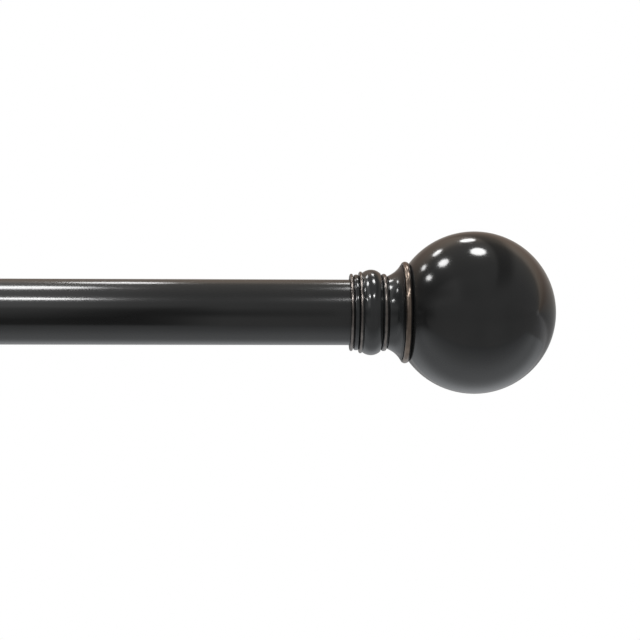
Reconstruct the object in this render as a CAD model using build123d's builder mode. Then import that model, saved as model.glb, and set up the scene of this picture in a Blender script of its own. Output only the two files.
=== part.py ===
"""Curtain rod with two wall brackets: a telescoping steel rod, two screwed-on ball finials and two brackets
whose arms slide in their sleeves. All sizes are in millimetres.

The wall is the plane y = 0 and the room is on its -y side. The rod runs along x, z is up, and the origin lies on
the wall, midway between the brackets at the height of the rod.
"""

import os
from math import radians, sqrt, tan

from build123d import *

# Rod: a one inch steel tube with a smaller tube sliding in it
rod_diameter = 25.4
inner_tube_diameter = 22.2
tube_wall = 0.8
tube_edge_chamfer = 0.2
bracket_spacing = 449.0
right_overhang = 182.0  # right bracket to the mouth of the right collar
left_overhang = 59.0  # left bracket to the open end of the outer tube
exposed_inner = 123.0  # inner tube that shows at rest
travel_out = 406.0  # inner tube, from rest to the longest rod
least_overlap = 110.0  # of the two tubes in the longest rod

# Fits
slide_fit = 0.1  # radial, between a bush and what slides in it
press_fit = 0.05  # radial, between pieces that are pressed or screwed together
seat_gap = 0.1  # between faces that part when something is unscrewed
rest_gap = 0.3  # between the rod and what carries or clamps it

# Nylon bushing in the open end of the outer tube, and glide on the hidden end of the inner one
bushing_length = 20.0
bushing_flange_width = 1.8
bushing_flange_height = 0.5  # above the outer tube
glide_length = 12.0
glide_head = 4.0

# End plugs and their threaded inserts
tube_seat = 10.0  # depth of a tube's end in its collar
plug_length = 20.0
plug_flange = 1.5
insert_radius = 6.0
insert_flange_radius = 7.4
insert_flange = 1.2
insert_length = 16.0
skirt_inset = 0.6  # left plug's skirt, back from the collar's mouth

# Finial collar: turned rings with fine grooves between them; heights are above the neck
collar_wall = 1.65
groove_width = 0.5
groove_depth = 0.35
mouth_ring_width = 1.35
mouth_ring_height = 0.53
neck_width = 1.6
neck_crown = 0.18
lip_ring_width = 1.0
lip_ring_foot = 0.8
lip_ring_height = 1.35
bead_width = 5.9
bead_height = 2.1
bead_end_height = 0.25
bead_groove_width = 1.1  # behind the bead
small_ring_width = 1.6
small_ring_foot = 0.1
small_ring_height = 0.5
cove_width = 5.5
cove_depth = 0.3  # below the neck, where the cove starts
cove_rise = 3.9
cove_sag = 0.5
rim_width = 2.0
rim_height = 5.2
rim_crown = 0.5
rim_land = 0.75  # from the rim's crest in to the edge of the ball's seat

# Finial ball and the stud that screws it to the rod
ball_diameter = 63.0
ball_gap = 0.35  # between the ball and its seat in the collar
stud_radius = 4.0
stud_thread = 12.0  # in the rod's insert
stud_depth = 22.0  # in the ball
stud_hole_gap = 0.3

# Brackets
projection = 89.0  # wall to the axis of the rod, with the arms pushed in
plate_width = 30.0
plate_height = 78.0
plate_base = 2.6
plate_field = 1.9
plate_step = 2.6  # from the plate's edge in to the raised field
plate_round = 1.2
wall_screw_spacing = 54.0
wall_screw_radius = 2.4
wall_screw_head_radius = 4.4
countersink_angle = 82

sleeve_radius = 8.3
sleeve_foot_radius = 12.0
sleeve_foot = 2.2
sleeve_cove = 6.0
sleeve_ring_radius = 9.7
sleeve_ring_width = 4.4
sleeve_floor = 8.0  # closed end, which takes the sleeve bolt
arm_show = 10.4  # bar that shows between sleeve and cradle flange at rest
lock_inset = 9.0  # lock screw, back from the mouth of the sleeve
lock_boss_height = 4.6

bar_radius = 6.0
bar_end_gap = 1.0
bar_flange_radius = 8.0
bar_flange = 3.0
bar_chamfer = 0.6
keyway_depth = 1.2
keyway_end = 4.0  # keyway, past the lock screw

cradle_wall = 3.5
cradle_width = 14.0
cradle_boss = 3.0
cradle_boss_radius = 8.5
cradle_back = 9.0  # height of the back above the rod's axis
cradle_front = 5.0
cradle_lip_radius = 2.5
cradle_round = 1.1
screw_boss_radius = 6.0
screw_boss_height = 7.4

# Machine screws that hold the brackets together
bolt_radius = 2.5
bolt_head_radius = 4.6
bolt_head_sink = 0.4  # below the surface
bolt_grip = 10.0  # thread beyond the piece that it holds
bolt_clearance = 0.15

# Clamping thumb screws with nylon pads
clamp_radius = 2.4
pad_radius = 2.3
pad_length = 3.0
pad_socket_radius = 1.3
pad_socket_depth = 1.8
knob_standoff = 3.2
knob_radius = 6.6
knob_height = 8.0
knob_round = 1.2
knob_flutes = 12
knob_flute_radius = 1.5
knob_flute_depth = 0.7

# Sizes that follow from those
rod_radius = rod_diameter / 2
rod_bore = rod_radius - tube_wall
inner_radius = inner_tube_diameter / 2
inner_bore = inner_radius - tube_wall
right_mouth = bracket_spacing / 2 + right_overhang
outer_open_end = -bracket_spacing / 2 - left_overhang
left_mouth = outer_open_end - exposed_inner
inner_overlap = travel_out + least_overlap

plug_face = tube_seat + plug_flange
socket_depth = plug_face + seat_gap
socket_radius = rod_radius + press_fit + slide_fit
neck_radius = socket_radius + collar_wall
rim_radius = neck_radius + rim_height
rim_foot = rim_height - rim_crown
cup_radius = rim_radius - rim_land
cove_end_height = cove_rise - cove_depth
cove_middle_height = (cove_end_height - cove_depth) / 2 - cove_sag

# Turned parts of the collar from its mouth: width, heights where each starts, half way and where it ends, and the
# width of the groove after it
COLLAR_TURNING = [
    (mouth_ring_width, 0, mouth_ring_height, 0, groove_width),
    (neck_width, 0, neck_crown, 0, groove_width),
    (lip_ring_width, lip_ring_foot, lip_ring_height, lip_ring_foot, groove_width),
    (bead_width, lip_ring_foot, bead_height, bead_end_height, bead_groove_width),
    (small_ring_width, small_ring_foot, small_ring_height, small_ring_foot, groove_width),
    (cove_width, -cove_depth, cove_middle_height, cove_end_height, groove_width),
    (rim_width, rim_foot, rim_height, rim_foot, 0),
]
collar_length = sum(turned[0] + turned[-1] for turned in COLLAR_TURNING)

ball_radius = ball_diameter / 2
seat_radius = ball_radius + ball_gap
ball_centre = collar_length + sqrt(seat_radius**2 - cup_radius**2)
ball_pole = ball_centre - ball_radius
stud_start = plug_face - stud_thread
stud_end = ball_pole + stud_depth
stud_hole_radius = stud_radius + stud_hole_gap

cradle_radius = rod_radius + rest_gap + slide_fit
cradle_outer = cradle_radius + cradle_wall
cradle_seat = cradle_outer + cradle_boss
plate_thickness = plate_base + plate_field
sleeve_mouth = projection - cradle_seat - bar_flange - arm_show
bar_start = plate_thickness + sleeve_floor + bar_end_gap
bar_end = projection - cradle_seat
lock_y = sleeve_mouth - lock_inset
sink_slope = tan(radians(countersink_angle / 2))
bolt_sink_radius = bolt_head_radius + bolt_clearance + bolt_head_sink * sink_slope

OUTWARD = {"right": 1, "left": -1}
MOUTH_X = {"right": right_mouth, "left": left_mouth}
BRACKET_X = {"right": bracket_spacing / 2, "left": -bracket_spacing / 2}
TUBE_RADIUS = {"right": rod_radius, "left": inner_radius}


def finial_plane(side):
    """Plane through the rod's axis at a collar's mouth: its x runs outwards along the rod, its y is a radius."""
    outward = OUTWARD[side]
    return Plane(origin=(MOUTH_X[side], -projection, 0), x_dir=(outward, 0, 0), z_dir=(0, -outward, 0))


def arm_plane(x):
    """Upright plane through a bracket's arm: its x runs from the wall into the room, its y is up."""
    return Plane(origin=(x, 0, 0), x_dir=(0, -1, 0), z_dir=(-1, 0, 0))


def clamp_plane(x, y, z):
    """Upright plane through a clamping screw: its x runs down from the top of the pad, its y is a radius."""
    return Plane(origin=(x, y, z), x_dir=(0, 0, -1), z_dir=(0, -1, 0))


def spin_axis(plane):
    """The x axis of a sketch plane, to revolve a profile about."""
    return Axis(plane.origin, plane.x_dir)


def save(piece, name):
    """Labels a finished piece and writes it to its own file."""
    piece.part.label = name
    export_step(piece.part, f"parts/{name}.step")


# Rod


def make_tube(start, end, radius):
    with BuildPart() as tube:
        with BuildSketch(Plane.YZ.offset(start)):
            with Locations((-projection, 0)):
                Circle(radius)
                Circle(radius - tube_wall, mode=Mode.SUBTRACT)
        extrude(amount=end - start)
        chamfer(tube.edges().filter_by(GeomType.CIRCLE), tube_edge_chamfer)
    return tube


def make_bushing():
    """Flanged sleeve in the outer tube's open end, which the inner tube slides through."""
    plane = Plane(origin=(outer_open_end, -projection, 0), x_dir=(1, 0, 0), z_dir=(0, -1, 0))
    bore = inner_radius + slide_fit
    flange_radius = rod_radius + bushing_flange_height
    with BuildPart() as bushing:
        with BuildSketch(plane):
            with BuildLine():
                Polyline(
                    (-bushing_flange_width, bore),
                    (bushing_length, bore),
                    (bushing_length, rod_bore - press_fit),
                    (0, rod_bore - press_fit),
                    (0, flange_radius),
                    (-bushing_flange_width, flange_radius),
                    close=True,
                )
            make_face()
        revolve(axis=spin_axis(plane))
        rim = bushing.edges().filter_by(GeomType.CIRCLE).sort_by(SortBy.RADIUS)[-2:]
        fillet(rim, bushing_flange_width / 3)
    return bushing


def make_glide(inner_end):
    """Plug in the hidden end of the inner tube; its head keeps that end central in the outer tube."""
    plane = Plane(origin=(inner_end, -projection, 0), x_dir=(1, 0, 0), z_dir=(0, -1, 0))
    stem_radius = inner_bore - press_fit
    with BuildPart() as glide:
        with BuildSketch(plane):
            with BuildLine():
                Polyline(
                    (-glide_length, stem_radius - tube_wall),
                    (-glide_length, stem_radius),
                    (0, stem_radius),
                    (0, rod_bore - slide_fit),
                    (glide_head, rod_bore - slide_fit),
                    (glide_head, stem_radius - tube_wall),
                    close=True,
                )
            make_face()
        revolve(axis=spin_axis(plane))
        lead = glide.edges().filter_by(GeomType.CIRCLE).sort_by(SortBy.RADIUS)[-2:]
        chamfer(lead, tube_wall / 2)
    return glide


def make_end_plug(side):
    """Plug in a tube's end that holds the threaded insert. The left one has a skirt that brings the inner tube up
    to the bore of the collar."""
    plane = finial_plane(side)
    tube_radius = TUBE_RADIUS[side]
    stem_radius = tube_radius - tube_wall - press_fit
    with BuildPart() as plug:
        with BuildSketch(plane):
            with BuildLine():
                Polyline(
                    (tube_seat - plug_length, insert_radius + press_fit),
                    (tube_seat - plug_length, stem_radius),
                    (tube_seat, stem_radius),
                    (tube_seat, rod_radius),
                    (plug_face, rod_radius),
                    (plug_face, insert_flange_radius + press_fit),
                    (plug_face - insert_flange, insert_flange_radius + press_fit),
                    (plug_face - insert_flange, insert_radius + press_fit),
                    close=True,
                )
            make_face()
        revolve(axis=spin_axis(plane))
        if side == "left":
            with BuildSketch(plane):
                with BuildLine():
                    Polyline(
                        (skirt_inset, tube_radius + press_fit),
                        (skirt_inset, rod_radius),
                        (tube_seat, rod_radius),
                        (tube_seat, tube_radius + press_fit),
                        close=True,
                    )
                make_face()
            revolve(axis=spin_axis(plane))
    return plug


def make_insert(side):
    """Flanged threaded bush in an end plug."""
    plane = finial_plane(side)
    bore = stud_radius + press_fit
    with BuildPart() as insert:
        with BuildSketch(plane):
            with BuildLine():
                Polyline(
                    (plug_face - insert_length, bore),
                    (plug_face - insert_length, insert_radius),
                    (plug_face - insert_flange, insert_radius),
                    (plug_face - insert_flange, insert_flange_radius),
                    (plug_face, insert_flange_radius),
                    (plug_face, bore),
                    close=True,
                )
            make_face()
        revolve(axis=spin_axis(plane))
    return insert


# Finials


def make_collar(side):
    """Turned ferrule: socket for the tube's end, rings, bead and cove outside, and a cup that seats the ball."""
    plane = finial_plane(side)
    web_edge = ball_centre - sqrt(seat_radius**2 - stud_hole_radius**2)
    rim_end = neck_radius + rim_foot
    with BuildPart() as collar:
        with BuildSketch(plane):
            with BuildLine():
                Line((0, socket_radius), (0, neck_radius))
                start = 0
                for number, (width, first, middle, last, groove) in enumerate(COLLAR_TURNING):
                    end = start + width
                    ThreePointArc(
                        (start, neck_radius + first),
                        (start + width / 2, neck_radius + middle),
                        (end, neck_radius + last),
                    )
                    start = end + groove
                    if groove:
                        following = COLLAR_TURNING[number + 1][1]
                        floor = neck_radius + min(last, following) - groove_depth
                        Polyline(
                            (end, neck_radius + last),
                            (end, floor),
                            (start, floor),
                            (start, neck_radius + following),
                        )
                Line((collar_length, rim_end), (collar_length, cup_radius))
                RadiusArc((collar_length, cup_radius), (web_edge, stud_hole_radius), -seat_radius)
                Polyline(
                    (web_edge, stud_hole_radius),
                    (socket_depth, stud_hole_radius),
                    (socket_depth, socket_radius),
                    (0, socket_radius),
                )
            make_face()
        revolve(axis=spin_axis(plane))
    return collar


def make_ball(side):
    """Solid ball with a blind hole for its stud."""
    plane = finial_plane(side)
    hole = stud_radius + press_fit
    hole_mouth = ball_centre - sqrt(ball_radius**2 - hole**2)
    with BuildPart() as ball:
        with BuildSketch(plane):
            with BuildLine():
                ThreePointArc(
                    (hole_mouth, hole),
                    (ball_centre, ball_radius),
                    (ball_centre + ball_radius, 0),
                )
                Polyline(
                    (ball_centre + ball_radius, 0),
                    (stud_end, 0),
                    (stud_end, hole),
                    (hole_mouth, hole),
                )
            make_face()
        revolve(axis=spin_axis(plane))
    return ball


def make_stud(side):
    plane = finial_plane(side)
    with BuildPart() as stud:
        with BuildSketch(Plane(origin=plane.from_local_coords((stud_start, 0, 0)), z_dir=plane.x_dir)):
            Circle(stud_radius)
        extrude(amount=stud_end - stud_start)
        chamfer(stud.edges().group_by(Axis(plane.origin, plane.x_dir))[0], stud_radius / 5)
    return stud


# Brackets


def make_wall_plate(x):
    """Oblong plate with a raised field, countersunk for the wall screws in front and the sleeve bolt behind."""
    front = Plane(origin=(x, 0, 0), x_dir=(1, 0, 0), z_dir=(0, -1, 0))
    with BuildPart() as plate:
        with BuildSketch(front):
            SlotOverall(plate_height, plate_width, rotation=90)
        extrude(amount=plate_base)
        with BuildSketch(front.offset(plate_base)):
            SlotOverall(plate_height - 2 * plate_step, plate_width - 2 * plate_step, rotation=90)
        extrude(amount=plate_field)
        fillet(plate.faces().sort_by(Axis.Y)[0].outer_wire().edges(), plate_round)
        fillet(plate.faces().sort_by(Axis.Y)[-1].outer_wire().edges().filter_by(Plane.XZ), plate_base / 8)
        with Locations(front.offset(plate_thickness)):
            with GridLocations(0, wall_screw_spacing, 1, 2):
                CounterSinkHole(
                    wall_screw_radius,
                    wall_screw_head_radius,
                    depth=plate_thickness,
                    counter_sink_angle=countersink_angle,
                )
        with Locations(Plane(origin=(x, 0, 0), z_dir=(0, 1, 0))):
            CounterSinkHole(
                bolt_radius + bolt_clearance,
                bolt_sink_radius,
                depth=plate_thickness,
                counter_sink_angle=countersink_angle,
            )
    return plate


def make_sleeve(x):
    """Turned post that the arm slides in, closed towards the wall, with a boss below for the lock screw."""
    plane = arm_plane(x)
    foot_end = plate_thickness + sleeve_foot
    cove_end_y = foot_end + sleeve_cove
    ring_start = sleeve_mouth - sleeve_ring_width
    cove_bend = (foot_end + sleeve_cove * 0.3, sleeve_radius + (sleeve_foot_radius - sleeve_radius) * 0.3)
    with BuildPart() as sleeve:
        with BuildSketch(plane):
            with BuildLine():
                Polyline((plate_thickness, 0), (plate_thickness, sleeve_foot_radius), (foot_end, sleeve_foot_radius))
                ThreePointArc((foot_end, sleeve_foot_radius), cove_bend, (cove_end_y, sleeve_radius))
                Line((cove_end_y, sleeve_radius), (ring_start, sleeve_radius))
                ThreePointArc(
                    (ring_start, sleeve_radius),
                    (ring_start + sleeve_ring_width / 2, sleeve_ring_radius),
                    (sleeve_mouth, sleeve_radius),
                )
                Polyline((sleeve_mouth, sleeve_radius), (sleeve_mouth, 0), (plate_thickness, 0))
            make_face()
        revolve(axis=spin_axis(plane))
        with BuildSketch(Plane(origin=(x, -lock_y, 0), z_dir=(0, 0, -1))):
            Circle(screw_boss_radius)
        extrude(amount=sleeve_radius + lock_boss_height)
        with BuildSketch(Plane(origin=(x, -sleeve_mouth, 0), z_dir=(0, 1, 0))):
            Circle(bar_radius + slide_fit)
        extrude(amount=sleeve_mouth - plate_thickness - sleeve_floor, mode=Mode.SUBTRACT)
        with BuildSketch(Plane(origin=(x, -plate_thickness, 0), z_dir=(0, -1, 0))):
            Circle(bolt_radius + press_fit)
        extrude(amount=sleeve_floor, mode=Mode.SUBTRACT)
        with BuildSketch(Plane(origin=(x, -lock_y, 0), z_dir=(0, 0, -1))):
            Circle(clamp_radius + press_fit)
        extrude(amount=sleeve_radius + lock_boss_height, mode=Mode.SUBTRACT)
    return sleeve


def make_arm_bar(x):
    """Round bar with a flange for the cradle and a keyway below that the lock screw's pad runs in."""
    keyway_length = lock_y + clamp_radius + keyway_end - bar_start
    with BuildPart() as bar:
        with BuildSketch(Plane(origin=(x, -bar_start, 0), z_dir=(0, -1, 0))):
            Circle(bar_radius)
        extrude(amount=bar_end - bar_start)
        with BuildSketch(Plane(origin=(x, -bar_end, 0), z_dir=(0, 1, 0))):
            Circle(bar_flange_radius)
        extrude(amount=bar_flange)
        ends = bar.edges().filter_by(GeomType.CIRCLE).group_by(Axis.Y)
        chamfer(ends[-1], bar_chamfer)
        chamfer(ends[-2].sort_by(SortBy.RADIUS)[-1:], bar_chamfer)
        with BuildSketch(Plane(origin=(x, -bar_start - keyway_length / 2, -bar_radius), z_dir=(0, 0, 1))):
            Rectangle(2 * (pad_radius + slide_fit), keyway_length)
        extrude(amount=keyway_depth, mode=Mode.SUBTRACT)
        with BuildSketch(Plane(origin=(x, -bar_end, 0), z_dir=(0, 1, 0))):
            Circle(bolt_radius + press_fit)
        extrude(amount=bolt_grip + bar_end_gap, mode=Mode.SUBTRACT)
    return bar


def make_cradle(x):
    """Open-topped hook that the rod lies in, with a boss behind for the arm and one below for the rod screw."""
    side = Plane(origin=(x, -projection, 0), x_dir=(0, -1, 0), z_dir=(-1, 0, 0))
    middle = (cradle_radius + cradle_outer) / 2
    with BuildPart() as cradle:
        with BuildSketch(side):
            with BuildLine():
                Line((-middle, cradle_back), (-middle, 0))
                ThreePointArc((-middle, 0), (0, -middle), (middle, 0))
                Line((middle, 0), (middle, cradle_front))
                offset(amount=cradle_wall / 2, side=Side.BOTH)
            make_face()
            with Locations((middle + cradle_wall / 4, cradle_front + cradle_wall / 4)):
                Circle(cradle_lip_radius)
        extrude(amount=cradle_width / 2, both=True)
        outline = cradle.edges().group_by(Axis.X)
        fillet(outline[0] + outline[-1], cradle_round)
        with BuildSketch(Plane(origin=(x, -bar_end, 0), z_dir=(0, -1, 0))):
            Circle(cradle_boss_radius)
        extrude(amount=cradle_boss + cradle_wall / 2)
        with BuildSketch(Plane(origin=(x, -projection, -cradle_radius - cradle_wall / 2), z_dir=(0, 0, -1))):
            Circle(screw_boss_radius)
        extrude(amount=cradle_wall / 2 + screw_boss_height)
        with Locations(Plane(origin=(x, -projection + cradle_radius + bolt_head_sink, 0), z_dir=(0, -1, 0))):
            CounterSinkHole(
                bolt_radius + bolt_clearance,
                bolt_sink_radius,
                depth=cradle_seat - cradle_radius,
                counter_sink_angle=countersink_angle,
            )
        with BuildSketch(Plane(origin=(x, -projection, 0), z_dir=(0, 0, -1))):
            Circle(clamp_radius + press_fit)
        extrude(amount=cradle_outer + screw_boss_height, mode=Mode.SUBTRACT)
    return cradle


def make_bolt(head_face, towards, grip):
    """Countersunk machine screw, from the face of its head."""
    with BuildPart() as bolt:
        with BuildSketch(Plane(origin=head_face, z_dir=towards)):
            Circle(bolt_head_radius)
        extrude(amount=(bolt_head_radius - bolt_radius) / sink_slope, taper=countersink_angle / 2)
        with BuildSketch(Plane(origin=head_face, z_dir=towards)):
            Circle(bolt_radius)
        extrude(amount=grip)
    return bolt


# Clamping screws


def make_pad(x, y, z):
    """Nylon pad that the screw's point turns in, so that only the pad touches what is clamped."""
    plane = clamp_plane(x, y, z)
    with BuildPart() as pad:
        with BuildSketch(plane):
            with BuildLine():
                Polyline(
                    (0, 0),
                    (0, pad_radius),
                    (pad_length, pad_radius),
                    (pad_length, pad_socket_radius),
                    (pad_length - pad_socket_depth, pad_socket_radius),
                    (pad_length - pad_socket_depth, 0),
                    close=True,
                )
            make_face()
        revolve(axis=spin_axis(plane))
    return pad


def make_clamp_screw(x, y, z, hole_depth):
    """Thumb screw below a pad: a point in the pad, a shank in the threaded hole and a fluted knob."""
    plane = clamp_plane(x, y, z)
    shank_top = pad_length + seat_gap
    knob_top = hole_depth + knob_standoff
    knob_end = knob_top + knob_height
    point_top = pad_length - pad_socket_depth + seat_gap
    with BuildPart() as screw:
        with BuildSketch(plane):
            with BuildLine():
                Polyline(
                    (point_top, 0),
                    (point_top, pad_socket_radius - slide_fit),
                    (shank_top, pad_socket_radius - slide_fit),
                    (shank_top, clamp_radius),
                    (knob_top, clamp_radius),
                    (knob_top, knob_radius),
                    (knob_end, knob_radius),
                    (knob_end, 0),
                    close=True,
                )
            make_face()
        revolve(axis=spin_axis(plane))
        rims = screw.edges().filter_by(GeomType.CIRCLE).sort_by(SortBy.RADIUS)[-2:]
        fillet(rims, knob_round)
        with BuildSketch(Plane(origin=(x, y, z - knob_top), z_dir=(0, 0, -1))):
            with PolarLocations(knob_radius + knob_flute_radius - knob_flute_depth, knob_flutes):
                Circle(knob_flute_radius)
        extrude(amount=knob_height, mode=Mode.SUBTRACT)
    return screw


os.makedirs("parts", exist_ok=True)

right_tube_end = right_mouth + tube_seat
left_tube_end = left_mouth - tube_seat
inner_tube_end = outer_open_end + inner_overlap
save(make_tube(outer_open_end, right_tube_end, rod_radius), "outer_tube")
save(make_tube(left_tube_end, inner_tube_end, inner_radius), "inner_tube")
save(make_bushing(), "mouth_bushing")
save(make_glide(inner_tube_end), "inner_glide")

for side in OUTWARD:
    save(make_end_plug(side), f"{side}_end_plug")
    save(make_insert(side), f"{side}_thread_insert")
    save(make_collar(side), f"{side}_collar")
    save(make_ball(side), f"{side}_ball")
    save(make_stud(side), f"{side}_finial_stud")

rod_pad_top = -rod_radius - rest_gap
lock_pad_top = -bar_radius + keyway_depth - rest_gap
rod_hole_depth = cradle_outer + screw_boss_height + rod_pad_top
lock_hole_depth = sleeve_radius + lock_boss_height + lock_pad_top
cradle_bolt_face = -projection + cradle_radius + 2 * bolt_head_sink
for side, x in BRACKET_X.items():
    save(make_wall_plate(x), f"{side}_wall_plate")
    save(make_sleeve(x), f"{side}_arm_sleeve")
    save(make_bolt((x, -bolt_head_sink, 0), (0, -1, 0), plate_thickness + sleeve_floor / 2), f"{side}_sleeve_bolt")
    save(make_arm_bar(x), f"{side}_arm_bar")
    save(make_cradle(x), f"{side}_cradle")
    bolt_length = cradle_seat - cradle_radius - 2 * bolt_head_sink + bolt_grip
    save(make_bolt((x, cradle_bolt_face, 0), (0, 1, 0), bolt_length), f"{side}_cradle_bolt")
    save(make_pad(x, -projection, rod_pad_top), f"{side}_rod_pad")
    save(make_clamp_screw(x, -projection, rod_pad_top, rod_hole_depth), f"{side}_rod_screw")
    save(make_pad(x, -lock_y, lock_pad_top), f"{side}_lock_pad")
    save(make_clamp_screw(x, -lock_y, lock_pad_top, lock_hole_depth), f"{side}_lock_screw")
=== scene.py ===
"""Curtain rod with ball finials and wall brackets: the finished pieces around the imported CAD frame.

Everything is in metres in the frame of the CAD part: the wall is the plane y = 0, the room is on its -y side,
the rod runs along x and z is up. Turned pieces are given as profiles of (along, radius) pairs about their own
axis.
"""

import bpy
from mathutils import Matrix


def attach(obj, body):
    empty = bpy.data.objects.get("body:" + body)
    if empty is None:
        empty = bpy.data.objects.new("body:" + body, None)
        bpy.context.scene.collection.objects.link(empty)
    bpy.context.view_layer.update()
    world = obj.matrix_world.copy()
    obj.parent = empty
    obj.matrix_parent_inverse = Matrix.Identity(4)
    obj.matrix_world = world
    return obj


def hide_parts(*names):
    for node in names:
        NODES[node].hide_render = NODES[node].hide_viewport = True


bl_info = {
    "name": "Curtain rod with ball finials",
    "version": (1, 0, 0),
    "blender": (4, 5, 0),
    "location": "3D View > Sidebar > Curtain rod",
    "description": "Builds the finished pieces of a curtain rod on its CAD frame, with a plain studio stage",
    "category": "Object",
}

from functools import partial
from math import atan2, cos, hypot, pi, radians, sin, sqrt, tan

import bmesh
import bpy
import numpy as np
from bpy.props import FloatProperty, FloatVectorProperty, IntProperty, PointerProperty

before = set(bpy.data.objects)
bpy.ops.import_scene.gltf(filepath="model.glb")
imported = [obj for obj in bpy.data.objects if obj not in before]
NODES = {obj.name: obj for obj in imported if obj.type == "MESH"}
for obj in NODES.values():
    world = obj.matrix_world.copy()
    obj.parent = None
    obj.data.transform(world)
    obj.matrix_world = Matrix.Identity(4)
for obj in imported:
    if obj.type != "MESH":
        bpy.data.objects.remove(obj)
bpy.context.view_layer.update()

MM = 0.001
OUTWARD = {"right": 1, "left": -1}

# How a profile's own axis is turned to lie along the piece
ALONG_X = {1: (0, pi / 2, 0), -1: (0, -pi / 2, 0)}
TO_ROOM = (pi / 2, 0, 0)
TO_WALL = (-pi / 2, 0, 0)
DOWN = (pi, 0, 0)

# Sizes and colours that a user may change


def length(name, description, millimetres):
    value = millimetres * MM
    return FloatProperty(
        name=name, description=description, default=value, subtype="DISTANCE", unit="LENGTH", precision=5
    )


def angle(name, description, degrees):
    return FloatProperty(name=name, description=description, default=radians(degrees), subtype="ANGLE")


def colour(name, description, value):
    return FloatVectorProperty(
        name=name, description=description, default=value, size=3, min=0, max=1, subtype="COLOR"
    )


class RodSizes(bpy.types.PropertyGroup):
    rod_radius: length("Rod radius", "Outside of the outer tube", 12.7)
    inner_radius: length("Inner tube radius", "Outside of the sliding tube", 11.1)
    tube_wall: length("Tube wall", "Thickness of both tubes", 0.8)
    tube_edge: length("Tube edge", "Rounding of the tubes' ends", 0.2)
    projection: length("Projection", "Wall to the axis of the rod", 89.0)
    mouth: length("Collar mouth", "Middle of the rod to the mouth of either collar", 406.5)
    tube_seat: length("Tube seat", "Depth of a tube's end in its collar", 10.0)
    outer_end: length("Outer tube's open end", "Its place along the rod", -283.5)
    inner_end: length("Inner tube's hidden end", "Its place along the rod", 232.5)
    bushing_length: length("Bushing length", "Part of the bushing that is in the tube", 20.0)
    bushing_flange: length("Bushing flange", "Width of the bushing's flange", 1.8)
    bushing_rise: length("Bushing rise", "Height of the flange above the tube", 0.5)
    bushing_round: length("Bushing rounding", "Rounding of the flange's edges", 0.5)
    slide_gap: length("Slide gap", "Clearance of what slides", 0.1)
    press_gap: length("Press gap", "Clearance of what is pressed in", 0.05)
    seat_gap: length("Seat gap", "Between the flange and the tube's end", 0.02)


class FinialSizes(bpy.types.PropertyGroup):
    socket_radius: length("Socket radius", "Bore of the collar", 12.85)
    socket_depth: length("Socket depth", "Depth of the collar's bore", 11.6)
    neck_radius: length("Neck radius", "Radius that the rings stand on", 14.5)
    cup_radius: length("Cup radius", "Edge of the ball's seat", 18.95)
    groove: length("Groove", "Depth of the fine grooves between the rings", 0.75)
    softness: length("Softness", "How far the paint rounds the collar's edges", 0.06)
    ball_radius: length("Ball radius", "Radius of the ball", 31.5)
    ball_gap: length("Ball gap", "Between the ball and its seat", 0.35)
    stud_radius: length("Stud radius", "Crest of the stud's thread", 4.0)
    stud_hole: length("Stud hole", "Radius of the hole in the collar", 4.3)
    stud_start: length("Stud start", "From the collar's mouth", -0.5)
    stud_grip: length("Stud grip", "Depth of the stud in the ball", 22.0)
    stud_pitch: length("Stud pitch", "Rise of the stud's thread in a turn", 1.25)
    stud_bevel: length("Stud bevel", "Bevel of the stud's ends", 0.8)


class ClampSizes(bpy.types.PropertyGroup):
    bracket: length("Bracket place", "Middle of the rod to either bracket", 224.5)
    lock: length("Lock screw place", "Wall to the axis of the lock screw", 47.0)
    rod_pad_top: length("Rod pad", "Height of the top of the rod screw's pad", -13.0)
    lock_pad_top: length("Lock pad", "Height of the top of the lock screw's pad", -5.1)
    rod_knob: length("Rod knob", "Top of the pad to the top of the rod screw's knob", 14.2)
    lock_knob: length("Lock knob", "Top of the pad to the top of the lock screw's knob", 11.0)
    shank_radius: length("Shank radius", "Crest of the screw's thread", 2.4)
    pitch: length("Pitch", "Rise of the screw's thread in a turn", 0.8)
    point_radius: length("Point radius", "Point that turns in the pad", 1.2)
    point_gap: length("Point gap", "Between the point and the pad", 0.1)
    pad_radius: length("Pad radius", "Radius of the nylon pad", 2.3)
    pad_length: length("Pad length", "Length of the nylon pad", 3.0)
    pad_socket: length("Pad socket", "Depth of the hole for the screw's point", 1.8)
    neck_rise: length("Neck rise", "Height of the knob's neck above the thread", 1.4)
    neck_length: length("Neck length", "Length of the knob's neck", 0.9)
    knob_radius: length("Knob radius", "Radius of the fluted knob", 6.6)
    knob_height: length("Knob height", "Height of the fluted knob", 8.0)
    knob_round: length("Knob rounding", "Rounding of the knob's edges", 1.2)
    knob_dish: length("Knob dish", "Depth of the hollow in the knob's end", 0.6)
    flute_radius: length("Flute radius", "Radius of each flute", 1.5)
    flute_depth: length("Flute depth", "Depth of each flute", 0.7)
    flutes: IntProperty(name="Flutes", description="Number of flutes round the knob", default=12, min=3)
    bolt_radius: length("Bolt radius", "Shank of a machine screw", 2.5)
    bolt_head: length("Bolt head", "Radius of a machine screw's head", 4.6)
    bolt_slope: angle("Bolt slope", "Half the angle of the bolt's head", 41)
    cross_depth: length("Cross depth", "Depth of the cross in a machine screw's head", 1.5)
    sleeve_bolt: length("Sleeve bolt", "Wall to the face of the sleeve bolt's head", 0.4)
    sleeve_bolt_length: length("Sleeve bolt length", "Length of the sleeve bolt", 8.5)
    cradle_bolt: length("Cradle bolt", "Wall to the face of the cradle bolt's head", 75.1)
    cradle_bolt_length: length("Cradle bolt length", "Length of the cradle bolt", 15.7)


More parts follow.
